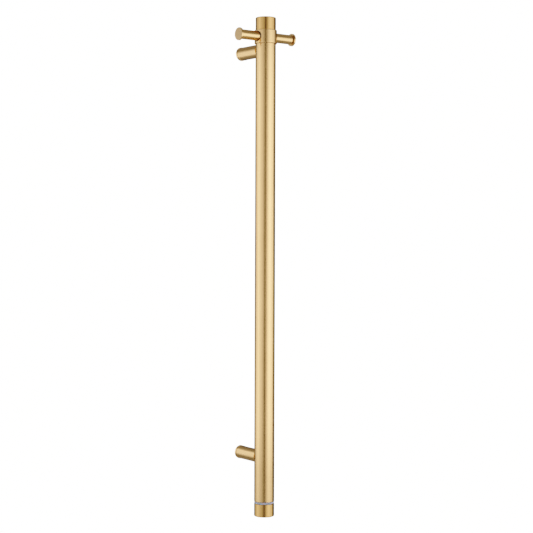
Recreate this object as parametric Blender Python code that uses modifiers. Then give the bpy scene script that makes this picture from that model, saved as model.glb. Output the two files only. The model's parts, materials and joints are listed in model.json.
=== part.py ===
"""A wall-hung heated towel rail: one upright tube on two posts.

Near its top is a swivelling collar with two pegs. At its foot is a frosted light ring above a cap, and the cap's
underside holds a push button.

The origin is on the wall, at the axis of the lower post, where the supply cable comes out.
+X runs along the pegs, +Y into the wall and +Z up. All sizes are in metres.
"""

import math

import bmesh
import bpy
from mathutils import Matrix, Vector

# Clearances
GAP = 0.0003  # between pieces that touch
SWING_CLEARANCE = 0.00035  # between a peg's disc and the upper post, as the collar turns

# The upright
RAIL_HEIGHT = 0.950
TUBE_RADIUS = 0.019
TUBE_WALL = 0.0015
WALL_DISTANCE = 0.079  # from the tube's axis to the wall
LOWER_POST_HEIGHT = 0.1117  # of the lower post's axis above the rail's foot

# The top cap and the spindle under it
TOP_CAP_HEIGHT = 0.0235
TOP_CAP_EDGE = 0.0012
TOP_CAP_BORE_DEPTH = 0.0160
SPINDLE_PLUG_DEPTH = 0.030
SPINDLE_BORE_RADIUS = 0.0090
NECK_STEP = 0.0040  # how much less than the tube's radius the neck has

# The collar and its pegs
COLLAR_STEP = 0.0020  # how far the collar stands proud of the tube
COLLAR_HEIGHT = 0.0254
COLLAR_EDGE = 0.0008
WASHER_THICKNESS = 0.0005
WASHER_RIM = 0.0005  # from the washer's edge to the tube's surface
PEG_OFFSET = 0.0005  # of the pegs' axis above the collar's middle
PEG_RADIUS = 0.0088
PEG_REACH = 0.0640  # from the tube's axis to a peg's end face
PEG_SEAT_SINK = 0.0018  # from the collar's surface down to the flat that a peg sits on
PEG_SEAT_RIM = 0.0005
PEG_DISC_RADIUS = 0.01175
PEG_DISC_THICKNESS = 0.0034
PEG_DISC_EDGE = 0.0003
STUD_RADIUS = 0.0030
STUD_DEPTH = 0.0110  # in the peg

# The posts and what fastens them
POST_RADIUS = 0.0122
POST_WALL = 0.0017
POST_END_WALL = 0.0040
POST_EDGE = 0.0015
POST_CRADLE = 0.0008  # how deep the tube lies in a post's end
BASE_RIM = 0.0005  # how far a wall base stands proud of its post
BASE_THICKNESS = 0.0040
BASE_EDGE = 0.0006
SPIGOT_WALL = 0.0014
SPIGOT_LENGTH = 0.0160
BASE_SCREW_RADIUS = 0.0024
BASE_SIDE_SCREW_RADIUS = 0.0015
GRUB_RADIUS = 0.0020
GRUB_DISTANCE = 0.0144  # from the wall to the grub screw's axis
GRUB_PROUD = 0.0004
BOLT_RADIUS = 0.0025
BOLT_HEAD_RADIUS = 0.00425
BOLT_HEAD_HEIGHT = 0.0050
BOLT_REACH = 0.0035  # of the lower bolt's tip past its nut
KEY_SHARE = 0.55  # of a screw's radius that its hexagon socket takes
NUT_RADIUS = 0.0046
NUT_THICKNESS = 0.0040
LOWER_BOLT_RISE = 0.0046  # the lower bolt sits above its post's axis, to leave room for the lead
LEAD_HOLE_DROP = 0.0052
LEAD_HOLE_RADIUS = 0.0028
CABLE_HOLE_RADIUS = 0.0043
GROMMET_WALL = 0.0009
GROMMET_LIP = 0.0010
GROMMET_LIP_RADIUS = 0.0050

# The control end
CONTROL_CAP_HEIGHT = 0.0239
CONTROL_CAP_WALL = 0.0040
CONTROL_CAP_FLOOR = 0.0025
CONTROL_CAP_EDGE = 0.0010
LIGHT_RING_HEIGHT = 0.0042
LIGHT_RING_SINK = 0.0002  # how far the ring lies inside the tube's surface
PLUG_DEPTH = 0.0270  # of the control plug in the tube
PLUG_WALL = 0.0018
PLUG_FLOOR = 0.0015
PLUG_LEDGE = 0.0024  # width of the ledge that the board rests on
BOARD_THICKNESS = 0.0016
LED_COUNT = 6
LED_SIZE = (0.0020, 0.0030, 0.0015)
LED_WINDOW_RADIUS = 0.0014
BUTTON_RADIUS = 0.0075
BUTTON_FLANGE_RADIUS = 0.0092
BUTTON_FLANGE_THICKNESS = 0.0015
BUTTON_STEM_RADIUS = 0.0025
BUTTON_DISH = 0.0004
BUTTON_TRAVEL = 0.0012
SPRING_SPACE = 0.0047  # from the button's flange to the control plug
SPRING_RADIUS = 0.0055
SPRING_WIRE = 0.00035
SPRING_TURNS = 2.5
SWITCH_SIZE = (0.0062, 0.0062, 0.0035)
PLUNGER_RADIUS = 0.0017
PLUNGER_LENGTH = 0.0023
PLUNGER_SHOWN = 0.0015

# Seals
SEAL_WIRE = 0.0008
SEAL_GROOVE_SIDE = 0.0004

# The heater
ELEMENT_RADIUS = 0.00325
ELEMENT_SPREAD = 0.0070  # of each leg from the tube's axis
ELEMENT_START = 0.0800  # height above the foot
ELEMENT_TOP_SPACE = 0.0300  # from the bend to the spindle
PIN_RADIUS = 0.0012
PIN_LENGTH = 0.0080
SPACER_COUNT = 4
SPACER_THICKNESS = 0.0030
SPACER_SLOT_RADIUS = 0.0030
CUTOUT_RADIUS = 0.0027
CUTOUT_LENGTH = 0.0150
LEAD_RADIUS = 0.0011
BOARD_PAD_SHARE = 0.7  # of a leg's distance from the axis at which its lead meets the board
SUPPLY_LEAD_RADIUS = 0.0018
SUPPLY_LEAD_BEND = 0.0100
SOCKET_SIZE = (0.0100, 0.0160, 0.0066)
SOCKET_FROM_SPIGOT = 0.0030

# Facets
FINE, MEDIUM, COARSE = 40, 24, 16
ARC_STEPS = 2

# Worked out from the sizes above: radii
TUBE_INNER = TUBE_RADIUS - TUBE_WALL
COLLAR_RADIUS = TUBE_RADIUS + COLLAR_STEP
NECK_RADIUS = TUBE_RADIUS - NECK_STEP
CAP_BORE_RADIUS = TUBE_RADIUS - CONTROL_CAP_WALL
PLUG_LOWER_RADIUS = CAP_BORE_RADIUS - GAP
PLUG_UPPER_RADIUS = TUBE_INNER - GAP
PLUG_BORE_RADIUS = PLUG_LOWER_RADIUS - PLUG_WALL
PLUG_LEDGE_RADIUS = PLUG_BORE_RADIUS - PLUG_LEDGE
BOARD_RADIUS = PLUG_BORE_RADIUS - GAP
POST_BORE_RADIUS = POST_RADIUS - POST_WALL
BASE_RADIUS = POST_RADIUS + BASE_RIM
SPIGOT_RADIUS = POST_BORE_RADIUS - GAP
SPIGOT_INNER = SPIGOT_RADIUS - SPIGOT_WALL

# Heights above the rail's foot
RING_BOTTOM = CONTROL_CAP_HEIGHT + GAP
RING_TOP = RING_BOTTOM + LIGHT_RING_HEIGHT
TUBE_BOTTOM = RING_TOP + GAP
CAP_BOTTOM = RAIL_HEIGHT - TOP_CAP_HEIGHT
COLLAR_TOP = CAP_BOTTOM - GAP
COLLAR_BOTTOM = COLLAR_TOP - COLLAR_HEIGHT
TUBE_TOP = COLLAR_BOTTOM - GAP
COLLAR_MIDDLE = (COLLAR_BOTTOM + COLLAR_TOP) / 2
PEG_HEIGHT = COLLAR_MIDDLE + PEG_OFFSET
UPPER_POST_HEIGHT = PEG_HEIGHT - PEG_DISC_RADIUS - SWING_CLEARANCE - POST_RADIUS
BUTTON_FLANGE_BOTTOM = CONTROL_CAP_FLOOR + GAP
BUTTON_FLANGE_TOP = BUTTON_FLANGE_BOTTOM + BUTTON_FLANGE_THICKNESS
PLUG_BOTTOM = BUTTON_FLANGE_TOP + SPRING_SPACE
PLUG_SHOULDER = RING_TOP + 2 * GAP
PLUG_TOP = PLUG_SHOULDER + PLUG_DEPTH
BOARD_BOTTOM = (RING_BOTTOM + RING_TOP) / 2 - LED_SIZE[2] / 2 - GAP - BOARD_THICKNESS
BOARD_TOP = BOARD_BOTTOM + BOARD_THICKNESS
SWITCH_TOP = BOARD_BOTTOM - GAP
SWITCH_BOTTOM = SWITCH_TOP - SWITCH_SIZE[2]
SPINDLE_BOTTOM = TUBE_TOP - SPINDLE_PLUG_DEPTH
SPINDLE_TOP = CAP_BOTTOM + TOP_CAP_BORE_DEPTH - GAP

# Distances from the wall, which are negative because the rail stands in front of it
POST_FRONT = TUBE_RADIUS - POST_CRADLE - WALL_DISTANCE
POST_BACK = -BASE_THICKNESS - GAP
POST_BORE_END = POST_FRONT + POST_END_WALL
NUT_BACK = math.sqrt(TUBE_INNER**2 - NUT_RADIUS**2) - GAP - WALL_DISTANCE
BOLT_TIP = NUT_BACK - NUT_THICKNESS - BOLT_REACH

BRASS = ((0.60, 0.44, 0.22), 1.0, 0.34)
CAP_BRASS = ((0.55, 0.38, 0.16), 1.0, 0.26)
STEEL = ((0.42, 0.42, 0.43), 1.0, 0.38)
DARK_STEEL = ((0.06, 0.055, 0.05), 1.0, 0.45)
FROSTED = ((0.62, 0.67, 0.76), 0.0, 0.45)
NYLON = ((0.78, 0.76, 0.70), 0.0, 0.5)
MOULDED = ((0.05, 0.05, 0.055), 0.0, 0.5)
RUBBER = ((0.02, 0.02, 0.02), 0.0, 0.8)
BOARD_GREEN = ((0.02, 0.16, 0.07), 0.0, 0.4)
LED_WHITE = ((0.90, 0.88, 0.75), 0.0, 0.3)
CERAMIC = ((0.82, 0.80, 0.76), 0.0, 0.7)
LEAD_COLOUR = ((0.60, 0.58, 0.55), 0.0, 0.6)

ALONG_Y = Matrix.Rotation(math.radians(-90), 4, "X").to_euler()  # local +Z points along +Y
ALONG_X = Matrix.Rotation(math.radians(90), 4, "Y").to_euler()  # local +Z points along +X
ALONG_MINUS_X = Matrix.Rotation(math.radians(-90), 4, "Y").to_euler()
UPRIGHT = (0, 0, 0)
UPSIDE_DOWN = (math.radians(180), 0, 0)


def collection(name):
    made = bpy.data.collections.new(name)
    bpy.context.scene.collection.children.link(made)
    return made


def empty(name, location):
    """A parent at a joint's axis or another reference point."""
    made = bpy.data.objects.new(name, None)
    made.location = location
    PARTS.objects.link(made)
    return made


def add(name, data, finish, parent, place, turn):
    """Puts mesh or curve data in the parts collection, with a material of its own."""
    colour, metallic, roughness = finish
    material = bpy.data.materials.new(name)
    material.use_nodes = True
    shader = material.node_tree.nodes["Principled BSDF"]
    shader.inputs["Base Color"].default_value = (*colour, 1)
    shader.inputs["Metallic"].default_value = metallic
    shader.inputs["Roughness"].default_value = roughness
    data.materials.append(material)
    made = bpy.data.objects.new(name, data)
    made.parent = parent
    made.location = place
    made.rotation_euler = turn
    PARTS.objects.link(made)
    return made


def arc(centre, radius, start, end, steps=ARC_STEPS):
    """Points (r, h) along a round stretch of an outline, from one angle in degrees to another."""
    angles = [math.radians(start + (end - start) * i / steps) for i in range(steps + 1)]
    return [(centre[0] + radius * math.cos(a), centre[1] + radius * math.sin(a)) for a in angles]


def top_edge(radius, height, edge):
    """The rounded outer edge where an outline's top face turns down into its side."""
    return arc((radius - edge, height - edge), edge, 90, 0)


def bottom_edge(radius, height, edge):
    """The rounded outer edge where an outline's side turns in to its bottom face."""
    return arc((radius - edge, height + edge), edge, 0, -90)


def turned(name, outline, finish, parent, place=(0, 0, 0), turn=UPRIGHT, steps=FINE, ring=False):
    """A turned piece. Its outline (radius, height) runs down the outer side; a ring's goes on and closes."""
    mesh = bpy.data.meshes.new(name)
    count = len(outline)
    edges = [(i, i + 1) for i in range(count - 1)] + ([(count - 1, 0)] if ring else [])
    mesh.from_pydata([(r, 0, h) for r, h in outline], edges, [])
    made = add(name, mesh, finish, parent, place, turn)
    screw = made.modifiers.new("turn", "SCREW")
    screw.axis = "Z"
    screw.angle = 2 * math.pi
    screw.steps = screw.render_steps = steps
    screw.use_merge_vertices = True
    screw.merge_threshold = 0.00001
    screw.use_smooth_shade = True
    return made


def rod(name, radius, low, high, finish, parent, place=(0, 0, 0), turn=UPRIGHT, steps=COARSE):
    """A plain solid cylinder from one height to another."""
    outline = [(0, high), (radius, high), (radius, low), (0, low)]
    return turned(name, outline, finish, parent, place, turn, steps)


def seal(name, groove_radius, height, finish, parent):
    """An O-ring lying in a groove whose floor has the given radius."""
    outline = arc((groove_radius + GAP + SEAL_WIRE, height), SEAL_WIRE, 90, -270, 8)[:-1]
    return turned(name, outline, finish, parent, steps=MEDIUM, ring=True)


def groove(radius, height):
    """The stretch of an outline that dips into an O-ring's groove on a side of the given radius."""
    half = SEAL_WIRE + SEAL_GROOVE_SIDE
    floor = groove_floor(radius)
    return [(radius, height + half), (floor, height + half), (floor, height - half), (radius, height - half)]


def groove_floor(radius):
    return radius - 2 * SEAL_WIRE - GAP


def block(name, size, finish, parent, place=(0, 0, 0), turn=UPRIGHT):
    """A rectangular piece, with its middle at place."""
    mesh = bpy.data.meshes.new(name)
    shape = bmesh.new()
    bmesh.ops.create_cube(shape, size=1, matrix=Matrix.Diagonal((*size, 1)))
    shape.to_mesh(mesh)
    shape.free()
    return add(name, mesh, finish, parent, place, turn)


def smooth_route(stops, step=0.003):
    """Points read from a Catmull-Rom curve through the stops, about one step apart."""
    stops = [Vector(s) for s in stops]
    padded = [2 * stops[0] - stops[1], *stops, 2 * stops[-1] - stops[-2]]
    points = []
    for before, here, there, after in zip(padded, padded[1:], padded[2:], padded[3:]):
        count = max(2, round((there - here).length / step))
        for i in range(count):
            t = i / count
            points.append(
                0.5 * (2 * here + (there - before) * t
                       + (2 * before - 5 * here + 4 * there - after) * t**2
                       + (3 * here - before - 3 * there + after) * t**3)
            )
    return [*points, stops[-1]]


def wire(name, points, radius, finish, parent, sides=2):
    """A round wire along the points."""
    curve = bpy.data.curves.new(name, "CURVE")
    curve.dimensions = "3D"
    curve.bevel_depth = radius
    curve.bevel_resolution = sides
    curve.use_fill_caps = True
    spline = curve.splines.new("POLY")
    spline.points.add(len(points) - 1)
    for spot, point in zip(spline.points, points):
        spot.co = (*point, 1)
    return add(name, curve, finish, parent, (0, 0, 0), UPRIGHT)


def cut_round(part, radius, low, high, place, turn=UPRIGHT, steps=COARSE):
    """Cuts a cylinder out of a part. place and turn are in the frame of the part's parent."""
    mesh = bpy.data.meshes.new("cutter")
    shape = bmesh.new()
    middle = Matrix.Translation((0, 0, (low + high) / 2))
    bmesh.ops.create_cone(shape, cap_ends=True, segments=steps, radius1=radius, radius2=radius,
                          depth=high - low, matrix=middle)
    shape.to_mesh(mesh)
    shape.free()
    cutter = bpy.data.objects.new(f"cutter_{part.name}_{len(part.modifiers)}", mesh)
    cutter.parent = part.parent
    cutter.location = place
    cutter.rotation_euler = turn
    cutter.hide_render = True
    cutter.display_type = "WIRE"
    CUTTERS.objects.link(cutter)
    boolean = part.modifiers.new("cut", "BOOLEAN")
    boolean.operation = "DIFFERENCE"
    boolean.solver = "EXACT"
    boolean.object = cutter


def make_main_tube(axis):
    outline = [(TUBE_RADIUS, TUBE_TOP), (TUBE_RADIUS, TUBE_BOTTOM),
               (TUBE_INNER, TUBE_BOTTOM), (TUBE_INNER, TUBE_TOP)]
    tube = turned("main_tube", outline, BRASS, axis, ring=True)
    bolt_heights = (UPPER_POST_HEIGHT, LOWER_POST_HEIGHT + LOWER_BOLT_RISE)
    for height in bolt_heights:
        cut_round(tube, BOLT_RADIUS + GAP, 0, 2 * TUBE_RADIUS, (0, 0, height), ALONG_Y)
    lead_height = LOWER_POST_HEIGHT - LEAD_HOLE_DROP
    cut_round(tube, LEAD_HOLE_RADIUS, 0, 2 * TUBE_RADIUS, (0, 0, lead_height), ALONG_Y)


def make_top(axis):
    """The spindle in the tube's upper end, the cap on it, its seal and the collar's two washers.

    The upper post's bolt screws into the spindle, and the lower one into a nut.
    """
    seal_height = CAP_BOTTOM + TOP_CAP_BORE_DEPTH / 2
    spindle = [
        (0, SPINDLE_TOP - SPINDLE_BORE_RADIUS / 2),
        (SPINDLE_BORE_RADIUS, SPINDLE_TOP - SPINDLE_BORE_RADIUS / 2),
        (SPINDLE_BORE_RADIUS, SPINDLE_TOP),
        (NECK_RADIUS, SPINDLE_TOP),
        *groove(NECK_RADIUS, seal_height),
        (NECK_RADIUS, TUBE_TOP),
        (PLUG_UPPER_RADIUS, TUBE_TOP),
        (PLUG_UPPER_RADIUS, SPINDLE_BOTTOM),
        (0, SPINDLE_BOTTOM),
    ]
    plug = turned("top_spindle", spindle, STEEL, axis, steps=MEDIUM)
    cut_round(plug, BOLT_RADIUS + GAP, BOLT_TIP + WALL_DISTANCE - GAP, TUBE_RADIUS,
              (0, 0, UPPER_POST_HEIGHT), ALONG_Y)
    seal("top_cap_seal", groove_floor(NECK_RADIUS), seal_height, RUBBER, axis)

    bore = NECK_RADIUS + GAP
    cap = [
        (0, RAIL_HEIGHT),
        *top_edge(TUBE_RADIUS, RAIL_HEIGHT, TOP_CAP_EDGE),
        (TUBE_RADIUS, CAP_BOTTOM),
        (bore, CAP_BOTTOM),
        (bore, CAP_BOTTOM + TOP_CAP_BORE_DEPTH),
        (0, CAP_BOTTOM + TOP_CAP_BORE_DEPTH),
    ]
    turned("top_cap", cap, CAP_BRASS, axis)

    outer = TUBE_RADIUS - WASHER_RIM
    for name, low in (("glide_washer_lower", TUBE_TOP + GAP),
                      ("glide_washer_upper", CAP_BOTTOM - GAP - WASHER_THICKNESS)):
        high = low + WASHER_THICKNESS
        washer = [(outer, high), (outer, low), (bore, low), (bore, high)]
        turned(name, washer, NYLON, axis, steps=MEDIUM, ring=True)


def make_collar(swivel):
    """The collar and its pegs. Heights are from the pegs' axis, where the swivel's empty stands."""
    top, bottom = COLLAR_TOP - PEG_HEIGHT, COLLAR_BOTTOM - PEG_HEIGHT
    bore = NECK_RADIUS + GAP
    recess_radius = TUBE_RADIUS - WASHER_RIM + GAP
    recess_depth = WASHER_THICKNESS + GAP
    outline = [
        (recess_radius, top),
        *top_edge(COLLAR_RADIUS, top, COLLAR_EDGE),
        *bottom_edge(COLLAR_RADIUS, bottom, COLLAR_EDGE),
        (recess_radius, bottom),
        (recess_radius, bottom + recess_depth),
        (bore, bottom + recess_depth),
        (bore, top - recess_depth),
        (recess_radius, top - recess_depth),
    ]
    collar = turned("hook_collar", outline, BRASS, swivel, ring=True)

    seat = COLLAR_RADIUS - PEG_SEAT_SINK
    peg_start = seat + GAP
    stud_end = peg_start + STUD_DEPTH
    disc_start = PEG_REACH - PEG_DISC_THICKNESS
    peg = [
        (0, PEG_REACH),
        (PEG_DISC_RADIUS - PEG_DISC_EDGE, PEG_REACH),
        (PEG_DISC_RADIUS, PEG_REACH - PEG_DISC_EDGE),
        (PEG_DISC_RADIUS, disc_start + PEG_DISC_EDGE),
        (PEG_DISC_RADIUS - PEG_DISC_EDGE, disc_start),
        (PEG_RADIUS, disc_start),
        (PEG_RADIUS, peg_start),
        (STUD_RADIUS + GAP, peg_start),
        (STUD_RADIUS + GAP, stud_end + GAP),
        (0, stud_end + GAP),
    ]
    for side, turn in (("left", ALONG_MINUS_X), ("right", ALONG_X)):
        cut_round(collar, PEG_RADIUS + PEG_SEAT_RIM, seat, PEG_REACH, (0, 0, 0), turn, MEDIUM)
        cut_round(collar, STUD_RADIUS + GAP, 0, PEG_REACH, (0, 0, 0), turn)
        turned(f"peg_{side}", peg, BRASS, swivel, turn=turn, steps=MEDIUM)
        rod(f"peg_stud_{side}", STUD_RADIUS, bore + GAP, stud_end, STEEL, swivel, turn=turn)


def make_post(name, fixing, bolt_rise, grub_turn):
    """A post with the bolt through its front wall and the grub screw that holds it on its wall base.

    fixing stands on the wall at the post's axis, and grub_turn points the grub screw away from that axis.
    """
    outline = [
        (POST_BORE_RADIUS, POST_BACK),
        (POST_RADIUS, POST_BACK),
        *bottom_edge(POST_RADIUS, POST_FRONT, POST_EDGE),
        (0, POST_FRONT),
        (0, POST_BORE_END),
        (POST_BORE_RADIUS, POST_BORE_END),
    ]
    post = turned(f"post_{name}", outline, BRASS, fixing, turn=ALONG_Y, steps=MEDIUM, ring=True)
    tube_axis = (0, -WALL_DISTANCE, 0)
    cut_round(post, TUBE_RADIUS + GAP, -2 * POST_RADIUS, 2 * POST_RADIUS, tube_axis, steps=FINE)
    collar_bottom = COLLAR_BOTTOM - LOWER_POST_HEIGHT - fixing.location.z
    if collar_bottom - GAP < POST_RADIUS:
        cut_round(post, COLLAR_RADIUS + GAP, collar_bottom - GAP, collar_bottom + COLLAR_HEIGHT,
                  tube_axis, steps=FINE)
    cut_round(post, BOLT_RADIUS + GAP, POST_FRONT - POST_EDGE, POST_BORE_END + POST_EDGE,
              (0, 0, bolt_rise), ALONG_Y)
    grub_place = (0, -GRUB_DISTANCE, 0)
    cut_round(post, GRUB_RADIUS + GAP, 0, 2 * POST_RADIUS, grub_place, grub_turn)
    make_bolt(name, fixing, bolt_rise)
    grub_low, grub_top = SPIGOT_RADIUS + GAP, POST_RADIUS + GRUB_PROUD
    grub = rod(f"grub_screw_{name}", GRUB_RADIUS, grub_low, grub_top, DARK_STEEL, fixing,
               grub_place, grub_turn)
    cut_round(grub, GRUB_RADIUS * KEY_SHARE, (grub_low + grub_top) / 2, grub_top + GRUB_RADIUS,
              grub_place, grub_turn, 6)
    return post


def make_bolt(name, fixing, rise):
    """A socket-head bolt whose head lies against the inside of a post's front wall."""
    head_front = POST_BORE_END + GAP
    head_back = head_front + BOLT_HEAD_HEIGHT
    outline = [(0, head_back), (BOLT_HEAD_RADIUS, head_back), (BOLT_HEAD_RADIUS, head_front),
               (BOLT_RADIUS, head_front), (BOLT_RADIUS, BOLT_TIP), (0, BOLT_TIP)]
    bolt = turned(f"post_bolt_{name}", outline, STEEL, fixing, (0, 0, rise), ALONG_Y, COARSE)
    cut_round(bolt, BOLT_HEAD_RADIUS * KEY_SHARE, head_back - BOLT_HEAD_HEIGHT / 2, head_back + POST_EDGE,
              (0, 0, rise), ALONG_Y, 6)


def make_lower_nut(fixing):
    """The nut welded inside the tube for the lower bolt."""
    inner = BOLT_RADIUS + GAP
    front = NUT_BACK - NUT_THICKNESS
    outline = [(NUT_RADIUS, NUT_BACK), (NUT_RADIUS, front), (inner, front), (inner, NUT_BACK)]
    turned("post_nut_lower", outline, STEEL, fixing, (0, 0, LOWER_BOLT_RISE), ALONG_Y, 12, ring=True)


def make_wall_base(name, fixing, hole_radius):
    """A turned base: a flange on the wall and a spigot in the post, with a hole through its middle."""
    tip = -BASE_THICKNESS - SPIGOT_LENGTH
    outline = [
        (hole_radius, 0),
        (BASE_RADIUS, 0),
        *bottom_edge(BASE_RADIUS, -BASE_THICKNESS, BASE_EDGE),
        (SPIGOT_RADIUS, -BASE_THICKNESS),
        (SPIGOT_RADIUS, tip),
        (SPIGOT_INNER, tip),
        (SPIGOT_INNER, -BASE_THICKNESS),
        (hole_radius, -BASE_THICKNESS),
    ]
    return turned(f"wall_base_{name}", outline, BRASS, fixing, turn=ALONG_Y, steps=MEDIUM, ring=True)


def make_cable_entry(fixing):
    """The lower base, with two wall-screw holes beside its cable hole, and the grommet in that hole."""
    base = make_wall_base("lower", fixing, CABLE_HOLE_RADIUS)
    screw_offset = (CABLE_HOLE_RADIUS + SPIGOT_INNER) / 2
    for side in (-1, 1):
        cut_round(base, BASE_SIDE_SCREW_RADIUS, -2 * BASE_THICKNESS, BASE_THICKNESS,
                  (side * screw_offset, 0, 0), ALONG_Y)
    outer = CABLE_HOLE_RADIUS - GAP
    inner = outer - GROMMET_WALL
    front = -BASE_THICKNESS - GAP
    outline = [(inner, -GAP), (outer, -GAP), (outer, front), (GROMMET_LIP_RADIUS, front),
               (GROMMET_LIP_RADIUS, front - GROMMET_LIP), (inner, front - GROMMET_LIP)]
    turned("cable_grommet", outline, RUBBER, fixing, turn=ALONG_Y, steps=COARSE, ring=True)


def make_light_and_cap(axis):
    ring_outer = TUBE_RADIUS - LIGHT_RING_SINK
    ring = [(ring_outer, RING_TOP), (ring_outer, RING_BOTTOM), (CAP_BORE_RADIUS, RING_BOTTOM),
            (CAP_BORE_RADIUS, RING_TOP)]
    turned("light_ring", ring, FROSTED, axis, ring=True)
    button_hole = BUTTON_RADIUS + GAP
    cap = [
        (CAP_BORE_RADIUS, CONTROL_CAP_HEIGHT),
        (TUBE_RADIUS, CONTROL_CAP_HEIGHT),
        *bottom_edge(TUBE_RADIUS, 0, CONTROL_CAP_EDGE),
        (button_hole + GAP, 0),
        (button_hole, GAP),
        (button_hole, CONTROL_CAP_FLOOR),
        (CAP_BORE_RADIUS, CONTROL_CAP_FLOOR),
    ]
    turned("control_cap", cap, CAP_BRASS, axis, ring=True)


def make_control_plug(axis):
    """The moulded plug that carries the board: its upper part is in the tube, its lower part in the cap."""
    tube_seal_height = (PLUG_SHOULDER + PLUG_TOP) / 2
    cap_seal_height = PLUG_BOTTOM + PLUG_FLOOR + 2 * SEAL_WIRE
    ledge = BOARD_BOTTOM - GAP
    outline = [
        (PLUG_BORE_RADIUS, PLUG_TOP),
        (PLUG_UPPER_RADIUS, PLUG_TOP),
        *groove(PLUG_UPPER_RADIUS, tube_seal_height),
        (PLUG_UPPER_RADIUS, PLUG_SHOULDER),
        (PLUG_LOWER_RADIUS, PLUG_SHOULDER),
        *groove(PLUG_LOWER_RADIUS, cap_seal_height),
        (PLUG_LOWER_RADIUS, PLUG_BOTTOM),
        (BUTTON_STEM_RADIUS + GAP, PLUG_BOTTOM),
        (BUTTON_STEM_RADIUS + GAP, PLUG_BOTTOM + PLUG_FLOOR),
        (PLUG_LEDGE_RADIUS, PLUG_BOTTOM + PLUG_FLOOR),
        (PLUG_LEDGE_RADIUS, ledge),
        (PLUG_BORE_RADIUS, ledge),
    ]
    plug = turned("control_plug", outline, MOULDED, axis, steps=MEDIUM, ring=True)
    window_height = (RING_BOTTOM + RING_TOP) / 2
    for i in range(LED_COUNT):
        turn = Matrix.Rotation(2 * math.pi * i / LED_COUNT, 4, "Z") @ ALONG_X.to_matrix().to_4x4()
        cut_round(plug, LED_WINDOW_RADIUS, PLUG_LEDGE_RADIUS, TUBE_RADIUS, (0, 0, window_height),
                  turn.to_euler(), 12)
    seal("tube_seal", groove_floor(PLUG_UPPER_RADIUS), tube_seal_height, RUBBER, axis)
    seal("control_cap_seal", groove_floor(PLUG_LOWER_RADIUS), cap_seal_height, RUBBER, axis)


def make_board(axis):
    rod("control_board", BOARD_RADIUS, BOARD_BOTTOM, BOARD_TOP, BOARD_GREEN, axis, steps=MEDIUM)
    led_radius = BOARD_RADIUS - LED_SIZE[0]
    led_height = BOARD_TOP + GAP + LED_SIZE[2] / 2
    for i in range(LED_COUNT):
        angle = 2 * math.pi * i / LED_COUNT
        place = (led_radius * math.cos(angle), led_radius * math.sin(angle), led_height)
        block(f"led_{i + 1}", LED_SIZE, LED_WHITE, axis, place, (0, 0, angle))
    switch = block("button_switch", SWITCH_SIZE, MOULDED, axis, (0, 0, (SWITCH_BOTTOM + SWITCH_TOP) / 2))
    well = PLUNGER_LENGTH - PLUNGER_SHOWN + BUTTON_TRAVEL + GAP
    cut_round(switch, PLUNGER_RADIUS + GAP, -SWITCH_SIZE[2], well, (0, 0, SWITCH_BOTTOM))


def make_button(slide):
    """The push button, its spring and the switch plunger that it lifts. Heights are from the rail's foot."""
    plunger_bottom = SWITCH_BOTTOM - PLUNGER_SHOWN
    stem_top = plunger_bottom - GAP
    outline = [
        (0, stem_top),
        (BUTTON_STEM_RADIUS, stem_top),
        (BUTTON_STEM_RADIUS, BUTTON_FLANGE_TOP),
        (BUTTON_FLANGE_RADIUS, BUTTON_FLANGE_TOP),
        (BUTTON_FLANGE_RADIUS, BUTTON_FLANGE_BOTTOM),
        (BUTTON_RADIUS, BUTTON_FLANGE_BOTTOM),
        (BUTTON_RADIUS, BUTTON_DISH),
        (BUTTON_RADIUS - BUTTON_DISH, 0),
        (BUTTON_RADIUS - 3 * BUTTON_DISH, 0),
        (0, BUTTON_DISH),
    ]
    turned("push_button", outline, CAP_BRASS, slide, steps=MEDIUM)
    rod("switch_plunger", PLUNGER_RADIUS, plunger_bottom, plunger_bottom + PLUNGER_LENGTH, NYLON, slide)
    low = BUTTON_FLANGE_TOP + GAP + SPRING_WIRE
    high = PLUG_BOTTOM - GAP - SPRING_WIRE
    count = round(SPRING_TURNS * 14)
    coil = []
    for i in range(count + 1):
        angle = 2 * math.pi * SPRING_TURNS * i / count
        height = low + (high - low) * i / count
        coil.append((SPRING_RADIUS * math.cos(angle), SPRING_RADIUS * math.sin(angle), height))
    wire("return_spring", coil, SPRING_WIRE, STEEL, slide)


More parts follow.
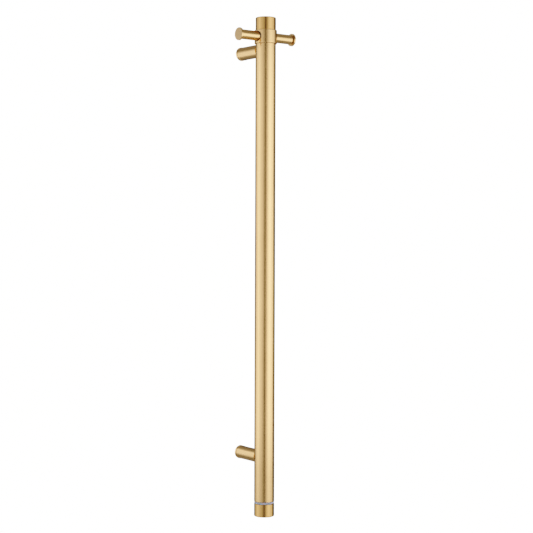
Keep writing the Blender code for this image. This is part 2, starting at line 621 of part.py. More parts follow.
def make_heater(axis):
    """The hairpin element with its pins and spacers, the cut-out in line with its left leg, and its leads."""
    bend_height = SPINDLE_BOTTOM - ELEMENT_TOP_SPACE - ELEMENT_SPREAD
    bend = [(-r, 0, h) for r, h in arc((0, bend_height), ELEMENT_SPREAD, 0, 180, 12)]
    legs = [(-ELEMENT_SPREAD, 0, ELEMENT_START), *bend, (ELEMENT_SPREAD, 0, ELEMENT_START)]
    wire("heating_element", legs, ELEMENT_RADIUS, STEEL, axis, sides=4)

    spacer_low = ELEMENT_START + 0.5 * (bend_height - ELEMENT_START) / SPACER_COUNT
    spacer_step = (bend_height - ELEMENT_START) / SPACER_COUNT
    for i in range(SPACER_COUNT):
        low = spacer_low + i * spacer_step
        spacer = rod(f"element_spacer_{i + 1}", TUBE_INNER - GAP, low, low + SPACER_THICKNESS, CERAMIC, axis,
                     steps=MEDIUM)
        for side in (-1, 1):
            cut_round(spacer, ELEMENT_RADIUS + GAP, low - SPACER_THICKNESS, low + 2 * SPACER_THICKNESS,
                      (side * ELEMENT_SPREAD, 0, 0))
            cut_round(spacer, SPACER_SLOT_RADIUS, low - SPACER_THICKNESS, low + 2 * SPACER_THICKNESS,
                      (0, side * TUBE_INNER, 0))

    pin_top = ELEMENT_START - GAP
    pin_bottom = pin_top - PIN_LENGTH
    for side, x in (("left", -ELEMENT_SPREAD), ("right", ELEMENT_SPREAD)):
        rod(f"element_pin_{side}", PIN_RADIUS, pin_bottom, pin_top, STEEL, axis, (x, 0, 0))
    cutout_top = pin_bottom - GAP
    cutout_bottom = cutout_top - CUTOUT_LENGTH
    rod("thermal_cutout", CUTOUT_RADIUS, cutout_bottom, cutout_top, CERAMIC, axis, (-ELEMENT_SPREAD, 0, 0))
    end = BOARD_TOP + GAP
    for side, x, top in (("left", -ELEMENT_SPREAD, cutout_bottom), ("right", ELEMENT_SPREAD, pin_bottom)):
        pad = x * BOARD_PAD_SHARE
        stops = [(x, 0, top - GAP), (x, 0, (top + end) / 2), (pad, 0, end + ELEMENT_SPREAD), (pad, 0, end)]
        wire(f"element_lead_{side}", smooth_route(stops, 0.006), LEAD_RADIUS, LEAD_COLOUR, axis)


def make_supply(axis):
    """The socket for the supply cable, inside the lower post, and the lead from it to the board."""
    height = LOWER_POST_HEIGHT - LEAD_HOLE_DROP
    socket_back = WALL_DISTANCE - BASE_THICKNESS - SPIGOT_LENGTH - SOCKET_FROM_SPIGOT
    socket_front = socket_back - SOCKET_SIZE[1]
    block("supply_socket", SOCKET_SIZE, MOULDED, axis, (0, (socket_back + socket_front) / 2, height))
    bend_start = TUBE_INNER - SUPPLY_LEAD_RADIUS
    bend = [(0, bend_start - SUPPLY_LEAD_BEND * math.sin(a), height - SUPPLY_LEAD_BEND * (1 - math.cos(a)))
            for a in (math.radians(30 * i) for i in range(4))]
    stops = [
        (0, socket_front - GAP, height),
        (0, TUBE_RADIUS, height),
        *bend,
        (0, bend[-1][1], PLUG_TOP),
        (0, bend[-1][1], BOARD_TOP + GAP),
    ]
    wire("supply_lead", smooth_route(stops, 0.004), SUPPLY_LEAD_RADIUS, LEAD_COLOUR, axis)


def main():
    tube_axis = empty("tube_axis", (0, -WALL_DISTANCE, -LOWER_POST_HEIGHT))
    swivel = empty("collar_swivel", (0, -WALL_DISTANCE, PEG_HEIGHT - LOWER_POST_HEIGHT))
    slide = empty("button_slide", (0, -WALL_DISTANCE, -LOWER_POST_HEIGHT))
    lower_fixing = empty("lower_fixing", (0, 0, 0))
    upper_fixing = empty("upper_fixing", (0, 0, UPPER_POST_HEIGHT - LOWER_POST_HEIGHT))

    make_main_tube(tube_axis)
    make_top(tube_axis)
    make_collar(swivel)
    make_light_and_cap(tube_axis)
    make_control_plug(tube_axis)
    make_board(tube_axis)
    make_button(slide)
    make_heater(tube_axis)
    make_post("upper", upper_fixing, 0, UPSIDE_DOWN)
    make_wall_base("upper", upper_fixing, BASE_SCREW_RADIUS)
    lower_post = make_post("lower", lower_fixing, LOWER_BOLT_RISE, UPRIGHT)
    cut_round(lower_post, LEAD_HOLE_RADIUS, POST_FRONT - POST_EDGE, POST_BORE_END + POST_EDGE,
              (0, 0, -LEAD_HOLE_DROP), ALONG_Y)
    make_lower_nut(lower_fixing)
    make_cable_entry(lower_fixing)
    make_supply(tube_axis)


for leftover in list(bpy.data.objects):
    bpy.data.objects.remove(leftover)
PARTS = collection("heated_towel_rail")
CUTTERS = collection("cutters")
main()
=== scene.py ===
"""The looks of a wall-hung heated towel rail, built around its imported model.

Every visible piece is a fine surface worked out with numpy: a turned outline carried round an axis,
or rings that grow from a hole's edge to the outline of half a turn. Sizes and places come from the
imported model's boxes, in metres.
"""

import json
import logging
import math
from dataclasses import dataclass
from enum import Enum

import bpy
import numpy as np
from mathutils import Matrix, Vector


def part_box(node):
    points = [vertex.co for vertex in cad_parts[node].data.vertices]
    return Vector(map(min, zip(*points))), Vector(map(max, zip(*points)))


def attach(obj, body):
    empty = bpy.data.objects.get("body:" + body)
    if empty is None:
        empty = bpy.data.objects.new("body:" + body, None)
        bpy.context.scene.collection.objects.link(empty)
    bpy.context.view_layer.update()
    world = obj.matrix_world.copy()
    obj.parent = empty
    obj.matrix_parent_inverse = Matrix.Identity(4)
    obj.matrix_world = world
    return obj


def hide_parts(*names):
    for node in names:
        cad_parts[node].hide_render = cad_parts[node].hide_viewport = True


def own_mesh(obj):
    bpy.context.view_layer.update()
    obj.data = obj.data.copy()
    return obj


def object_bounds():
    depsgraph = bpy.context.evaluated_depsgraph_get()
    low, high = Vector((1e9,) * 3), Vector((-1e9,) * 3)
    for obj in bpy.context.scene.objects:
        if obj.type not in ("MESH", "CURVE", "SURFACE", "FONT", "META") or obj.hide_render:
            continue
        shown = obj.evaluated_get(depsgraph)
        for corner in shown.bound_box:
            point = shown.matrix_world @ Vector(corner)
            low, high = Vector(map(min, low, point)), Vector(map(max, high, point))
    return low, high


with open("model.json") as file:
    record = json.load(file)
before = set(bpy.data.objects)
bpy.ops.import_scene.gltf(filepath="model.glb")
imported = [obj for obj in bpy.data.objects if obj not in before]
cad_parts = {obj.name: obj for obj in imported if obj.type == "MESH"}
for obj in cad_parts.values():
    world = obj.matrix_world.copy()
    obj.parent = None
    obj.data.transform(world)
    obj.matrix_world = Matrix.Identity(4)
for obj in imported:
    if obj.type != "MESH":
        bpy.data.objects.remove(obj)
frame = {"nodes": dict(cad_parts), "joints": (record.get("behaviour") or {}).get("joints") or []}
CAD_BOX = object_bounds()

log = logging.getLogger("towel_rail")

RGB = tuple[float, float, float]
Corner = tuple[float, float, float]  # radius, height, rounding

FULL_TURN = 2 * math.pi
HALF_TURN = math.pi
QUARTER_TURN = math.pi / 2
SIDES = 128  # round the larger turned pieces
MIDDLE_SIDES = 96
SMALL_SIDES = 64
ARC_STEPS = 6
GUARD = 1.35  # how far a guard point lies from its corner, beside the arc's own reach
WELD = 1e-7
NUDGE = 1e-6  # keeps apart two rows that would be welded
SHARP_ANGLE = math.radians(38)
BREAK = 0.00012  # the rounding that a deburred corner keeps
ROOT = 0.0002  # the rounding of an inner corner
SOFT = 0.0003  # the rounding of a softened edge
GRAIN_REACH = 0.02
GRAIN_RISE = 1.3
GRAIN_FALL = 0.8
NOISE_RANGE = (0.3, 0.7)  # where nearly all of a noise's values lie
GLOSS_RANGE = (0.25, 0.75)  # where the pattern reaches a finish's two ends of roughness


# Surfaces


@dataclass(frozen=True)
class Place:
    """Where a piece's own axes lie in the frame."""

    origin: tuple[float, float, float]
    along: tuple[float, float, float] = (0.0, 0.0, 1.0)
    across: tuple[float, float, float] = (1.0, 0.0, 0.0)

    def to_frame(self, points: np.ndarray) -> np.ndarray:
        """Turns own points into the frame's: origin + x·across + y·(along × across) + z·along.

        Args:
            points: Own coordinates, one row each.

        Returns:
            The same points in the frame.
        """
        z = np.array(self.along)
        x = np.array(self.across)
        return np.array(self.origin) + points @ np.stack((x, np.cross(z, x), z))


@dataclass
class Surface:
    """Points with the faces between them, and what the finishes read.

    The grain is a space of its own. The edge mark is 1 on an edge that is rubbed bright, down to -1
    where shade is painted deep in a tight gap between pieces, and 0 elsewhere.
    """

    points: np.ndarray
    faces: np.ndarray
    grain: np.ndarray
    edge: np.ndarray

    @staticmethod
    def grid(points: np.ndarray, edge: np.ndarray, closed: bool, looped: bool = False) -> "Surface":
        """Joins a grid of own points into four-sided faces.

        With the columns drawn to the right and the rows downwards, the faces look out of the sheet.

        Args:
            points: Rows x columns x 3.
            edge: Rows x columns, the edge marks.
            closed: Whether the last column meets the first.
            looped: Whether the last row meets the first.

        Returns:
            The surface.
        """
        rows, columns = points.shape[:2]
        index = np.arange(rows * columns).reshape(rows, columns)
        if closed:
            index = np.concatenate((index, index[:, :1]), axis=1)
        if looped:
            index = np.concatenate((index, index[:1]), axis=0)
        quads = (index[:-1, :-1], index[1:, :-1], index[1:, 1:], index[:-1, 1:])
        faces = np.stack(quads, axis=-1).reshape(-1, 4)
        flat = points.reshape(-1, 3)
        return Surface(flat, faces, turned_space(flat), edge.ravel())

    @staticmethod
    def joined(parts: list["Surface"]) -> "Surface":
        """Puts several surfaces in one, and welds the points that coincide.

        Args:
            parts: The surfaces.

        Returns:
            One surface. A face that closes on a pole keeps a repeated corner, which to_mesh drops.
        """
        starts = np.cumsum([0] + [len(p.points) for p in parts[:-1]])
        points = np.concatenate([p.points for p in parts])
        faces = np.concatenate([p.faces + start for p, start in zip(parts, starts)])
        grain = np.concatenate([p.grain for p in parts])
        edge = np.concatenate([p.edge for p in parts])
        keys = np.round(points / WELD).astype(np.int64)
        _, first, label = np.unique(keys, axis=0, return_index=True, return_inverse=True)
        return Surface(points[first], label.reshape(-1)[faces], grain[first], edge[first])

    def to_mesh(self, name: str, place: Place) -> bpy.types.Mesh:
        """Writes the surface into a mesh, with its grain space and edge marks as point attributes.

        Args:
            name: The mesh's name.
            place: Where the own axes lie.

        Returns:
            A smooth mesh with sharp edges where faces meet at more than SHARP_ANGLE.
        """
        keep = self.faces != np.roll(self.faces, -1, axis=1)
        solid = keep.sum(axis=1) >= 3
        faces, keep = self.faces[solid], keep[solid]
        corners = faces[keep]
        totals = keep.sum(axis=1)
        starts = np.concatenate(([0], np.cumsum(totals)[:-1]))
        mesh = bpy.data.meshes.new(name)
        mesh.vertices.add(len(self.points))
        mesh.vertices.foreach_set("co", place.to_frame(self.points).astype(np.float32).ravel())
        mesh.loops.add(len(corners))
        mesh.loops.foreach_set("vertex_index", corners.astype(np.int32))
        mesh.polygons.add(len(faces))
        mesh.polygons.foreach_set("loop_start", starts.astype(np.int32))
        mesh.update(calc_edges=True)
        grain = mesh.attributes.new("grain", "FLOAT_VECTOR", "POINT")
        grain.data.foreach_set("vector", self.grain.astype(np.float32).ravel())
        edge = mesh.attributes.new("edge", "FLOAT", "POINT")
        edge.data.foreach_set("value", self.edge.astype(np.float32))
        mesh.shade_smooth()
        mesh.set_sharp_from_angle(angle=SHARP_ANGLE)
        return mesh


def turned_space(points: np.ndarray) -> np.ndarray:
    """The space in which a turned piece's grain is even, so that its lines run round the axis.

    The first two are the unit direction from the axis times GRAIN_REACH. The third is
    GRAIN_RISE·height - GRAIN_FALL·radius, so the lines go on over an end face as on a side.

    Args:
        points: Own coordinates, one row each.

    Returns:
        One grain-space vector a point.
    """
    radius = np.hypot(points[:, 0], points[:, 1])
    around = points[:, :2] / np.maximum(radius, WELD)[:, None] * GRAIN_REACH
    along = GRAIN_RISE * points[:, 2] - GRAIN_FALL * radius
    return np.concatenate((around, along[:, None]), axis=1)


def rounded(corners: list[Corner], looped: bool) -> tuple[np.ndarray, np.ndarray]:
    """An outline whose corners are rounded by arcs.

    A corner of rounding q, whose two sides meet at the angle a, gets an arc of radius q that starts
    q / tan(a/2) along each side. A guard point beyond each end of the arc keeps the shading of the
    flat beside it flat.

    Args:
        corners: (radius, height, rounding) of each corner, down the outer side.
        looped: Whether the outline closes on itself, as a ring's does.

    Returns:
        The points (radius, height), and 1 for each point on an arc or 0.
    """
    spots = np.array([c[:2] for c in corners], float)
    count = len(corners)
    made, marks = [], []
    for i, (*_, rounding) in enumerate(corners):
        here = spots[i]
        at_end = not looped and i in (0, count - 1)
        if rounding <= 0 or at_end:
            made.append(here[None])
            marks.append(np.zeros(1))
            continue
        before, after = spots[i - 1] - here, spots[(i + 1) % count] - here
        room = min(np.linalg.norm(before), np.linalg.norm(after))
        u, v = before / np.linalg.norm(before), after / np.linalg.norm(after)
        half = math.acos(np.clip(u @ v, -1, 1)) / 2
        reach = rounding / math.tan(half)
        centre = here + (u + v) / np.linalg.norm(u + v) * rounding / math.sin(half)
        start, end = here + u * reach - centre, here + v * reach - centre
        sweep = HALF_TURN - 2 * half
        t = np.linspace(0, 1, ARC_STEPS + 1)[:, None]
        arc = centre + (np.sin((1 - t) * sweep) * start + np.sin(t * sweep) * end) / math.sin(sweep)
        guard = min(GUARD * reach, (reach + room) / 2)
        made.append(np.concatenate(((here + u * guard)[None], arc, (here + v * guard)[None])))
        marks.append(np.concatenate(([0.0], np.ones(len(arc)), [0.0])))
    return np.concatenate(made), np.concatenate(marks)


def turned(
    corners: list[Corner],
    looped: bool = False,
    sides: int = SIDES,
    start: float = -QUARTER_TURN,
    sweep: float = FULL_TURN,
) -> Surface:
    """A turned surface: point(k, angle) = (radius_k·cos angle, radius_k·sin angle, height_k).

    Args:
        corners: The outline's corners, down the outer side.
        looped: Whether the outline closes on itself.
        sides: Steps in a full turn.
        start: The first angle, in radians.
        sweep: How far it turns, in radians.

    Returns:
        The surface, open where the sweep is under a full turn.
    """
    outline, marks = rounded(corners, looped)
    full = math.isclose(sweep, FULL_TURN)
    steps = round(sides * sweep / FULL_TURN)
    angle = start + sweep * np.arange(steps if full else steps + 1) / steps
    radius, height = outline[:, :1], outline[:, 1:]
    coordinates = np.broadcast_arrays(radius * np.cos(angle), radius * np.sin(angle), height)
    points = np.stack(coordinates, axis=-1)
    return Surface.grid(points, np.broadcast_to(marks[:, None], points.shape[:2]), full, looped)


@dataclass(frozen=True)
class HoledHalf:
    """Rings that grow from a round hole's edge to the outline of half a turn.

    They are made in the parameters (angle, run). Run is the height on a cylinder's side, or the
    distance from the axis on a flat end. The half is centred on angle zero, and its outline goes
    anticlockwise with the angle to the right and the run upwards.
    """

    reach: float  # metres in a radian, for the rays' directions
    centre: float  # the hole's own run
    steps: int = SIDES // 2
    along: int = 16
    rings: int = 14
    growth: float = 1.5

    def outline(self, low: float, high: float) -> np.ndarray:
        """The half's outline as points (angle, run), from the right-hand low corner.

        Args:
            low: The lowest run.
            high: The highest run.

        Returns:
            2 · (steps + along) points.
        """
        up, over = np.arange(self.along) / self.along, np.arange(self.steps) / self.steps
        right = np.stack((np.full(self.along, QUARTER_TURN), low + (high - low) * up), axis=1)
        top = np.stack((QUARTER_TURN - HALF_TURN * over, np.full(self.steps, high)), axis=1)
        left = np.stack((np.full(self.along, -QUARTER_TURN), high + (low - high) * up), axis=1)
        bottom = np.stack((-QUARTER_TURN + HALF_TURN * over, np.full(self.steps, low)), axis=1)
        return np.concatenate((right, top, left, bottom))

    def rays(self, outline: np.ndarray) -> np.ndarray:
        """The direction from the hole's middle to each outline point, as an angle in radians."""
        return np.arctan2(outline[:, 1] - self.centre, outline[:, 0] * self.reach)

    def hole(self, cylinder: float, radius: float, ray: np.ndarray) -> np.ndarray:
        """A round hole's edge on a cylinder.

        Its angle is asin(radius·cos ray / cylinder), and its run is centre + radius·sin ray.

        Args:
            cylinder: The cylinder's radius.
            radius: The hole's radius.
            ray: The rays' directions.

        Returns:
            (angle, run) on each ray.
        """
        angle = np.arcsin(radius * np.cos(ray) / cylinder)
        return np.stack((angle, self.centre + radius * np.sin(ray)), axis=1)

    def grown(self, edge: np.ndarray, outline: np.ndarray) -> np.ndarray:
        """The rings from the edge to the outline: (1 - t)·edge + t·outline.

        With the rings' share growing evenly from 0 to 1, t is the share to the power of growth.

        Args:
            edge: The hole's edge (angle, run) on each ray.
            outline: The outline's points.

        Returns:
            Rings x rays x 2, with the edge first.
        """
        t = (np.linspace(0, 1, self.rings + 1) ** self.growth)[:, None, None]
        return (1 - t) * edge + t * outline


def on_cylinder(radius: float, spots: np.ndarray) -> np.ndarray:
    """Points on a cylinder: (radius·cos angle, radius·sin angle, run).

    Args:
        radius: The cylinder's radius.
        spots: (angle, run) in the last axis.

    Returns:
        Own coordinates.
    """
    angle, run = spots[..., 0], spots[..., 1]
    return np.stack((radius * np.cos(angle), radius * np.sin(angle), run), axis=-1)


def on_end(height: float, spots: np.ndarray) -> np.ndarray:
    """Points on a flat end: (run·cos angle, run·sin angle, height).

    Args:
        height: The end's height.
        spots: (angle, run) in the last axis.

    Returns:
        Own coordinates.
    """
    angle, run = spots[..., 0], spots[..., 1]
    return np.stack((run * np.cos(angle), run * np.sin(angle), np.full_like(run, height)), axis=-1)


def half_turned(surface: Surface) -> Surface:
    """The same surface turned by 180 degrees about its own axis."""
    turn = np.array((-1.0, -1.0, 1.0))
    return Surface(surface.points * turn, surface.faces, surface.grain * turn, surface.edge)


@dataclass(frozen=True)
class Span:
    """A round CAD node's radius and its reach along one axis of the frame, read from its box."""

    radius: float
    low: float
    high: float

    @staticmethod
    def of(node: str, axis: int) -> "Span":
        """Reads a node's box.

        Args:
            node: The CAD node.
            axis: 0, 1 or 2, the axis that the piece is turned about.

        Returns:
            Its radius, which is half its width, and its lowest and highest place along the axis.
        """
        low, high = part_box(node)
        across = 0 if axis else 2
        return Span((high[across] - low[across]) / 2, low[axis], high[axis])


# Finishes


class Grain(Enum):
    """How a finish's fine pattern runs, as the scale of its noise along the grain space's axes."""

    TURNED = (45.0, 45.0, 2600.0)
    DRAWN = (900.0, 900.0, 30.0)
    MOULDED = (1500.0, 1500.0, 1500.0)


class Space(Enum):
    """What a material reads for its pattern."""

    GRAIN = "grain"  # the piece's own attribute
    OBJECT = "object"  # the frame's coordinates, for carried-over nodes


class Effects:
    """The shared shader node groups, each built once."""

    built: dict[str, bpy.types.NodeTree] = {}
    finer: float = 2.3  # how much finer the second set of lines is
    fine_share: float = 0.4
    rubbed_scale: float = 420.0
    rubbed_range: tuple[float, float] = (0.35, 0.6)

    @classmethod
    def fine_lines(cls) -> bpy.types.NodeTree:
        """Fine brushing: two stretched noises, one finer, mixed and spread from 0 to 1."""
        if "fine_lines" in cls.built:
            return cls.built["fine_lines"]
        inputs = {"Vector": "NodeSocketVector", "Scale": "NodeSocketVector"}
        tree = cls._group("fine_lines", inputs, "Lines")
        nodes, links = tree.nodes, tree.links
        stretched = nodes.new("ShaderNodeVectorMath")
        stretched.operation = "MULTIPLY"
        links.new(nodes["source"].outputs["Vector"], stretched.inputs[0])
        links.new(nodes["source"].outputs["Scale"], stretched.inputs[1])
        mixed = nodes.new("ShaderNodeMix")
        mixed.inputs["Factor"].default_value = cls.fine_share
        links.new(cls._noise(tree, stretched.outputs[0], 1.0, 2.0), mixed.inputs["A"])
        links.new(cls._noise(tree, stretched.outputs[0], cls.finer, 3.0), mixed.inputs["B"])
        lines = cls._spread(tree, mixed.outputs["Result"], NOISE_RANGE)
        links.new(lines, nodes["sink"].inputs["Lines"])
        return tree

    @classmethod
    def clouds(cls) -> bpy.types.NodeTree:
        """Slow, soft variation over a surface, from 0 to 1."""
        if "clouds" in cls.built:
            return cls.built["clouds"]
        inputs = {"Vector": "NodeSocketVector", "Size": "NodeSocketFloat"}
        tree = cls._group("clouds", inputs, "Mask")
        nodes, links = tree.nodes, tree.links
        scale = nodes.new("ShaderNodeMath")
        scale.operation = "DIVIDE"
        scale.inputs[0].default_value = 1.0
        links.new(nodes["source"].outputs["Size"], scale.inputs[1])
        noise = cls._noise(tree, nodes["source"].outputs["Vector"], 1.0, 3.0)
        links.new(scale.outputs[0], noise.node.inputs["Scale"])
        links.new(cls._spread(tree, noise, NOISE_RANGE), nodes["sink"].inputs["Mask"])
        return tree

    @classmethod
    def worn_edge(cls) -> bpy.types.NodeTree:
        """Where an edge is rubbed bright: its mark times the amount, broken up by a noise."""
        if "worn_edge" in cls.built:
            return cls.built["worn_edge"]
        inputs = {
            "Vector": "NodeSocketVector",
            "Edge": "NodeSocketFloat",
            "Amount": "NodeSocketFloat",
        }
        tree = cls._group("worn_edge", inputs, "Mask")
        source = tree.nodes["source"]
        broken = cls._noise(tree, source.outputs["Vector"], cls.rubbed_scale, 3.0)
        rubbed = cls._spread(tree, broken, cls.rubbed_range)
        held = cls._product(tree, rubbed, source.outputs["Edge"])
        scaled = cls._product(tree, held, source.outputs["Amount"])
        tree.links.new(scaled, tree.nodes["sink"].inputs["Mask"])
        return tree

    @classmethod
    def _group(cls, name: str, inputs: dict[str, str], output: str) -> bpy.types.NodeTree:
        """An empty group with its named sockets, kept under its name.

        Args:
            name: The group's name.
            inputs: Socket names and types.
            output: The name of the one value that it puts out.

        Returns:
            The group, whose end nodes are called source and sink.
        """
        tree = bpy.data.node_groups.new(name, "ShaderNodeTree")
        for socket, kind in inputs.items():
            tree.interface.new_socket(name=socket, in_out="INPUT", socket_type=kind)
        tree.interface.new_socket(name=output, in_out="OUTPUT", socket_type="NodeSocketFloat")
        tree.nodes.new("NodeGroupInput").name = "source"
        tree.nodes.new("NodeGroupOutput").name = "sink"
        cls.built[name] = tree
        return tree

    @staticmethod
    def _noise(
        tree: bpy.types.NodeTree, vector: bpy.types.NodeSocket, scale: float, detail: float
    ) -> bpy.types.NodeSocket:
        """A noise read at the vector.

        Args:
            tree: The group that it stands in.
            vector: Where it is read.
            scale: Its scale.
            detail: Its detail.

        Returns:
            Its value.
        """
        noise = tree.nodes.new("ShaderNodeTexNoise")
        noise.inputs["Scale"].default_value = scale
        noise.inputs["Detail"].default_value = detail
        tree.links.new(vector, noise.inputs["Vector"])
        return noise.outputs["Fac"]

    @staticmethod
    def _spread(
        tree: bpy.types.NodeTree, value: bpy.types.NodeSocket, ends: tuple[float, float]
    ) -> bpy.types.NodeSocket:
        """A value stretched so that it goes from 0 to 1 between two ends, and no further.

        Args:
            tree: The group that it stands in.
            value: The value.
            ends: What becomes 0, and what becomes 1.

        Returns:
            The stretched value.
        """
        spread = tree.nodes.new("ShaderNodeMapRange")
        spread.inputs["From Min"].default_value = ends[0]
        spread.inputs["From Max"].default_value = ends[1]
        tree.links.new(value, spread.inputs["Value"])
        return spread.outputs["Result"]

    @staticmethod
    def _product(
        tree: bpy.types.NodeTree, first: bpy.types.NodeSocket, second: bpy.types.NodeSocket
    ) -> bpy.types.NodeSocket:
        """Two values multiplied.

        Args:
            tree: The group that they stand in.
            first: One value.
            second: The other.

        Returns:
            Their product.
        """
        product = tree.nodes.new("ShaderNodeMath")
        product.operation = "MULTIPLY"
        tree.links.new(first, product.inputs[0])
        tree.links.new(second, product.inputs[1])
        return product.outputs[0]


@dataclass(frozen=True)
class Finish:
    """A procedural finish: its colours, its gloss and how its fine pattern runs."""

    name: str
    colour: RGB
    shade: RGB  # the colour where the slow variation is darkest
    roughness: tuple[float, float]
    grain: Grain
    metallic: float = 0.0
    bump: float = 0.1
    bump_depth: float = 0.00002
    cloud_size: float = 0.05
    wear: float = 0.0
    bright: RGB = (0.9, 0.9, 0.9)  # the colour of a rubbed edge
    deep: RGB = (0.21, 0.19, 0.16)  # the painted shade's colour, laid in a tight gap where pieces shade each other
    coat: float = 0.0
    coat_roughness: float = 0.2
    subsurface: float = 0.0
    subsurface_depth: float = 0.002
    ior: float = 1.5
    line_share: float = 0.5  # of the fine lines beside the slow variation

    def material(self, space: Space) -> bpy.types.Material:
        """The finish as a material that reads its pattern from the given space, made once.

        Args:
            space: Whether the pattern follows the piece's own grain or the frame's coordinates.

        Returns:
            The material.
        """
        name = f"{self.name}_{space.value}"
        if name in bpy.data.materials:
            return bpy.data.materials[name]
        made = bpy.data.materials.new(name)
        made.use_nodes = True
        nodes, links = made.node_tree.nodes, made.node_tree.links
        shader = nodes["Principled BSDF"]
        shader.inputs["Metallic"].default_value = self.metallic
        shader.inputs["Coat Weight"].default_value = self.coat
        shader.inputs["Coat Roughness"].default_value = self.coat_roughness
        shader.inputs["Subsurface Weight"].default_value = self.subsurface
        shader.inputs["Subsurface Scale"].default_value = self.subsurface_depth
        shader.inputs["IOR"].default_value = self.ior
        place = nodes.new("ShaderNodeTexCoord").outputs["Object"]
        vector = place
        if space is Space.GRAIN:
            grain = nodes.new("ShaderNodeAttribute")
            grain.attribute_name = "grain"
            vector = grain.outputs["Vector"]

        lines = self._placed(nodes, Effects.fine_lines())
        lines.inputs["Scale"].default_value = self.grain.value
        links.new(vector, lines.inputs["Vector"])
        clouds = self._placed(nodes, Effects.clouds())
        clouds.inputs["Size"].default_value = self.cloud_size
        links.new(place, clouds.inputs["Vector"])

        tint = nodes.new("ShaderNodeMix")
        tint.data_type = "RGBA"
        tint.inputs["A"].default_value = (*self.shade, 1)
        tint.inputs["B"].default_value = (*self.colour, 1)
        blended = nodes.new("ShaderNodeMix")
        blended.inputs["Factor"].default_value = self.line_share
        links.new(clouds.outputs["Mask"], blended.inputs["A"])
        links.new(lines.outputs["Lines"], blended.inputs["B"])
        links.new(blended.outputs["Result"], tint.inputs["Factor"])
        colour = tint.outputs["Result"]

        rough = nodes.new("ShaderNodeMapRange")
        rough.inputs["From Min"].default_value = GLOSS_RANGE[0]
        rough.inputs["From Max"].default_value = GLOSS_RANGE[1]
        rough.inputs["To Min"].default_value = self.roughness[0]
        rough.inputs["To Max"].default_value = self.roughness[1]
        links.new(blended.outputs["Result"], rough.inputs["Value"])

        if self.wear and space is Space.GRAIN:
            colour = self._wear_and_painted_shade(nodes, links, place, colour)
        links.new(colour, shader.inputs["Base Color"])
        links.new(rough.outputs["Result"], shader.inputs["Roughness"])
        bump = nodes.new("ShaderNodeBump")
        bump.inputs["Strength"].default_value = self.bump
        bump.inputs["Distance"].default_value = self.bump_depth
        links.new(lines.outputs["Lines"], bump.inputs["Height"])
        links.new(bump.outputs["Normal"], shader.inputs["Normal"])
        return made

    def _wear_and_painted_shade(
        self,
        nodes: bpy.types.Nodes,
        links: bpy.types.NodeLinks,
        place: bpy.types.NodeSocket,
        colour: bpy.types.NodeSocket,
    ) -> bpy.types.NodeSocket:
        """Lays the rubbed edges and the painted shade of tight gaps over a colour.

        A mark above 0 lightens it, through a mix that takes nothing from a mark below 0. A mark
        below 0 darkens it with painted shade, by as much as it lies below.

        Args:
            nodes: The material's nodes.
            links: The material's links.
            place: The object coordinates.
            colour: The colour under them.

        Returns:
            The colour with its rubbed edges and painted shade.
        """
        edge = nodes.new("ShaderNodeAttribute")
        edge.attribute_name = "edge"
        mask = self._placed(nodes, Effects.worn_edge())
        mask.inputs["Amount"].default_value = self.wear
        links.new(place, mask.inputs["Vector"])
        links.new(edge.outputs["Fac"], mask.inputs["Edge"])
        over = nodes.new("ShaderNodeMix")
        over.data_type = "RGBA"
        over.inputs["B"].default_value = (*self.bright, 1)
        links.new(mask.outputs["Mask"], over.inputs["Factor"])
        links.new(colour, over.inputs["A"])
        # painted shade: a mark below 0 mixes in the dark colour of a tight gap, where pieces shade
        # each other
        painted_shade_share = nodes.new("ShaderNodeMapRange")
        painted_shade_share.inputs["From Min"].default_value = 0.0
        painted_shade_share.inputs["From Max"].default_value = -1.0
        links.new(edge.outputs["Fac"], painted_shade_share.inputs["Value"])
        under = nodes.new("ShaderNodeMix")
        under.data_type = "RGBA"
        under.inputs["B"].default_value = (*self.deep, 1)
        links.new(painted_shade_share.outputs["Result"], under.inputs["Factor"])
        links.new(over.outputs["Result"], under.inputs["A"])
        return under.outputs["Result"]

    @staticmethod
    def _placed(nodes: bpy.types.Nodes, tree: bpy.types.NodeTree) -> bpy.types.ShaderNodeGroup:
        """A shared group as a node of this material."""
        node = nodes.new("ShaderNodeGroup")
        node.node_tree = tree
        return node


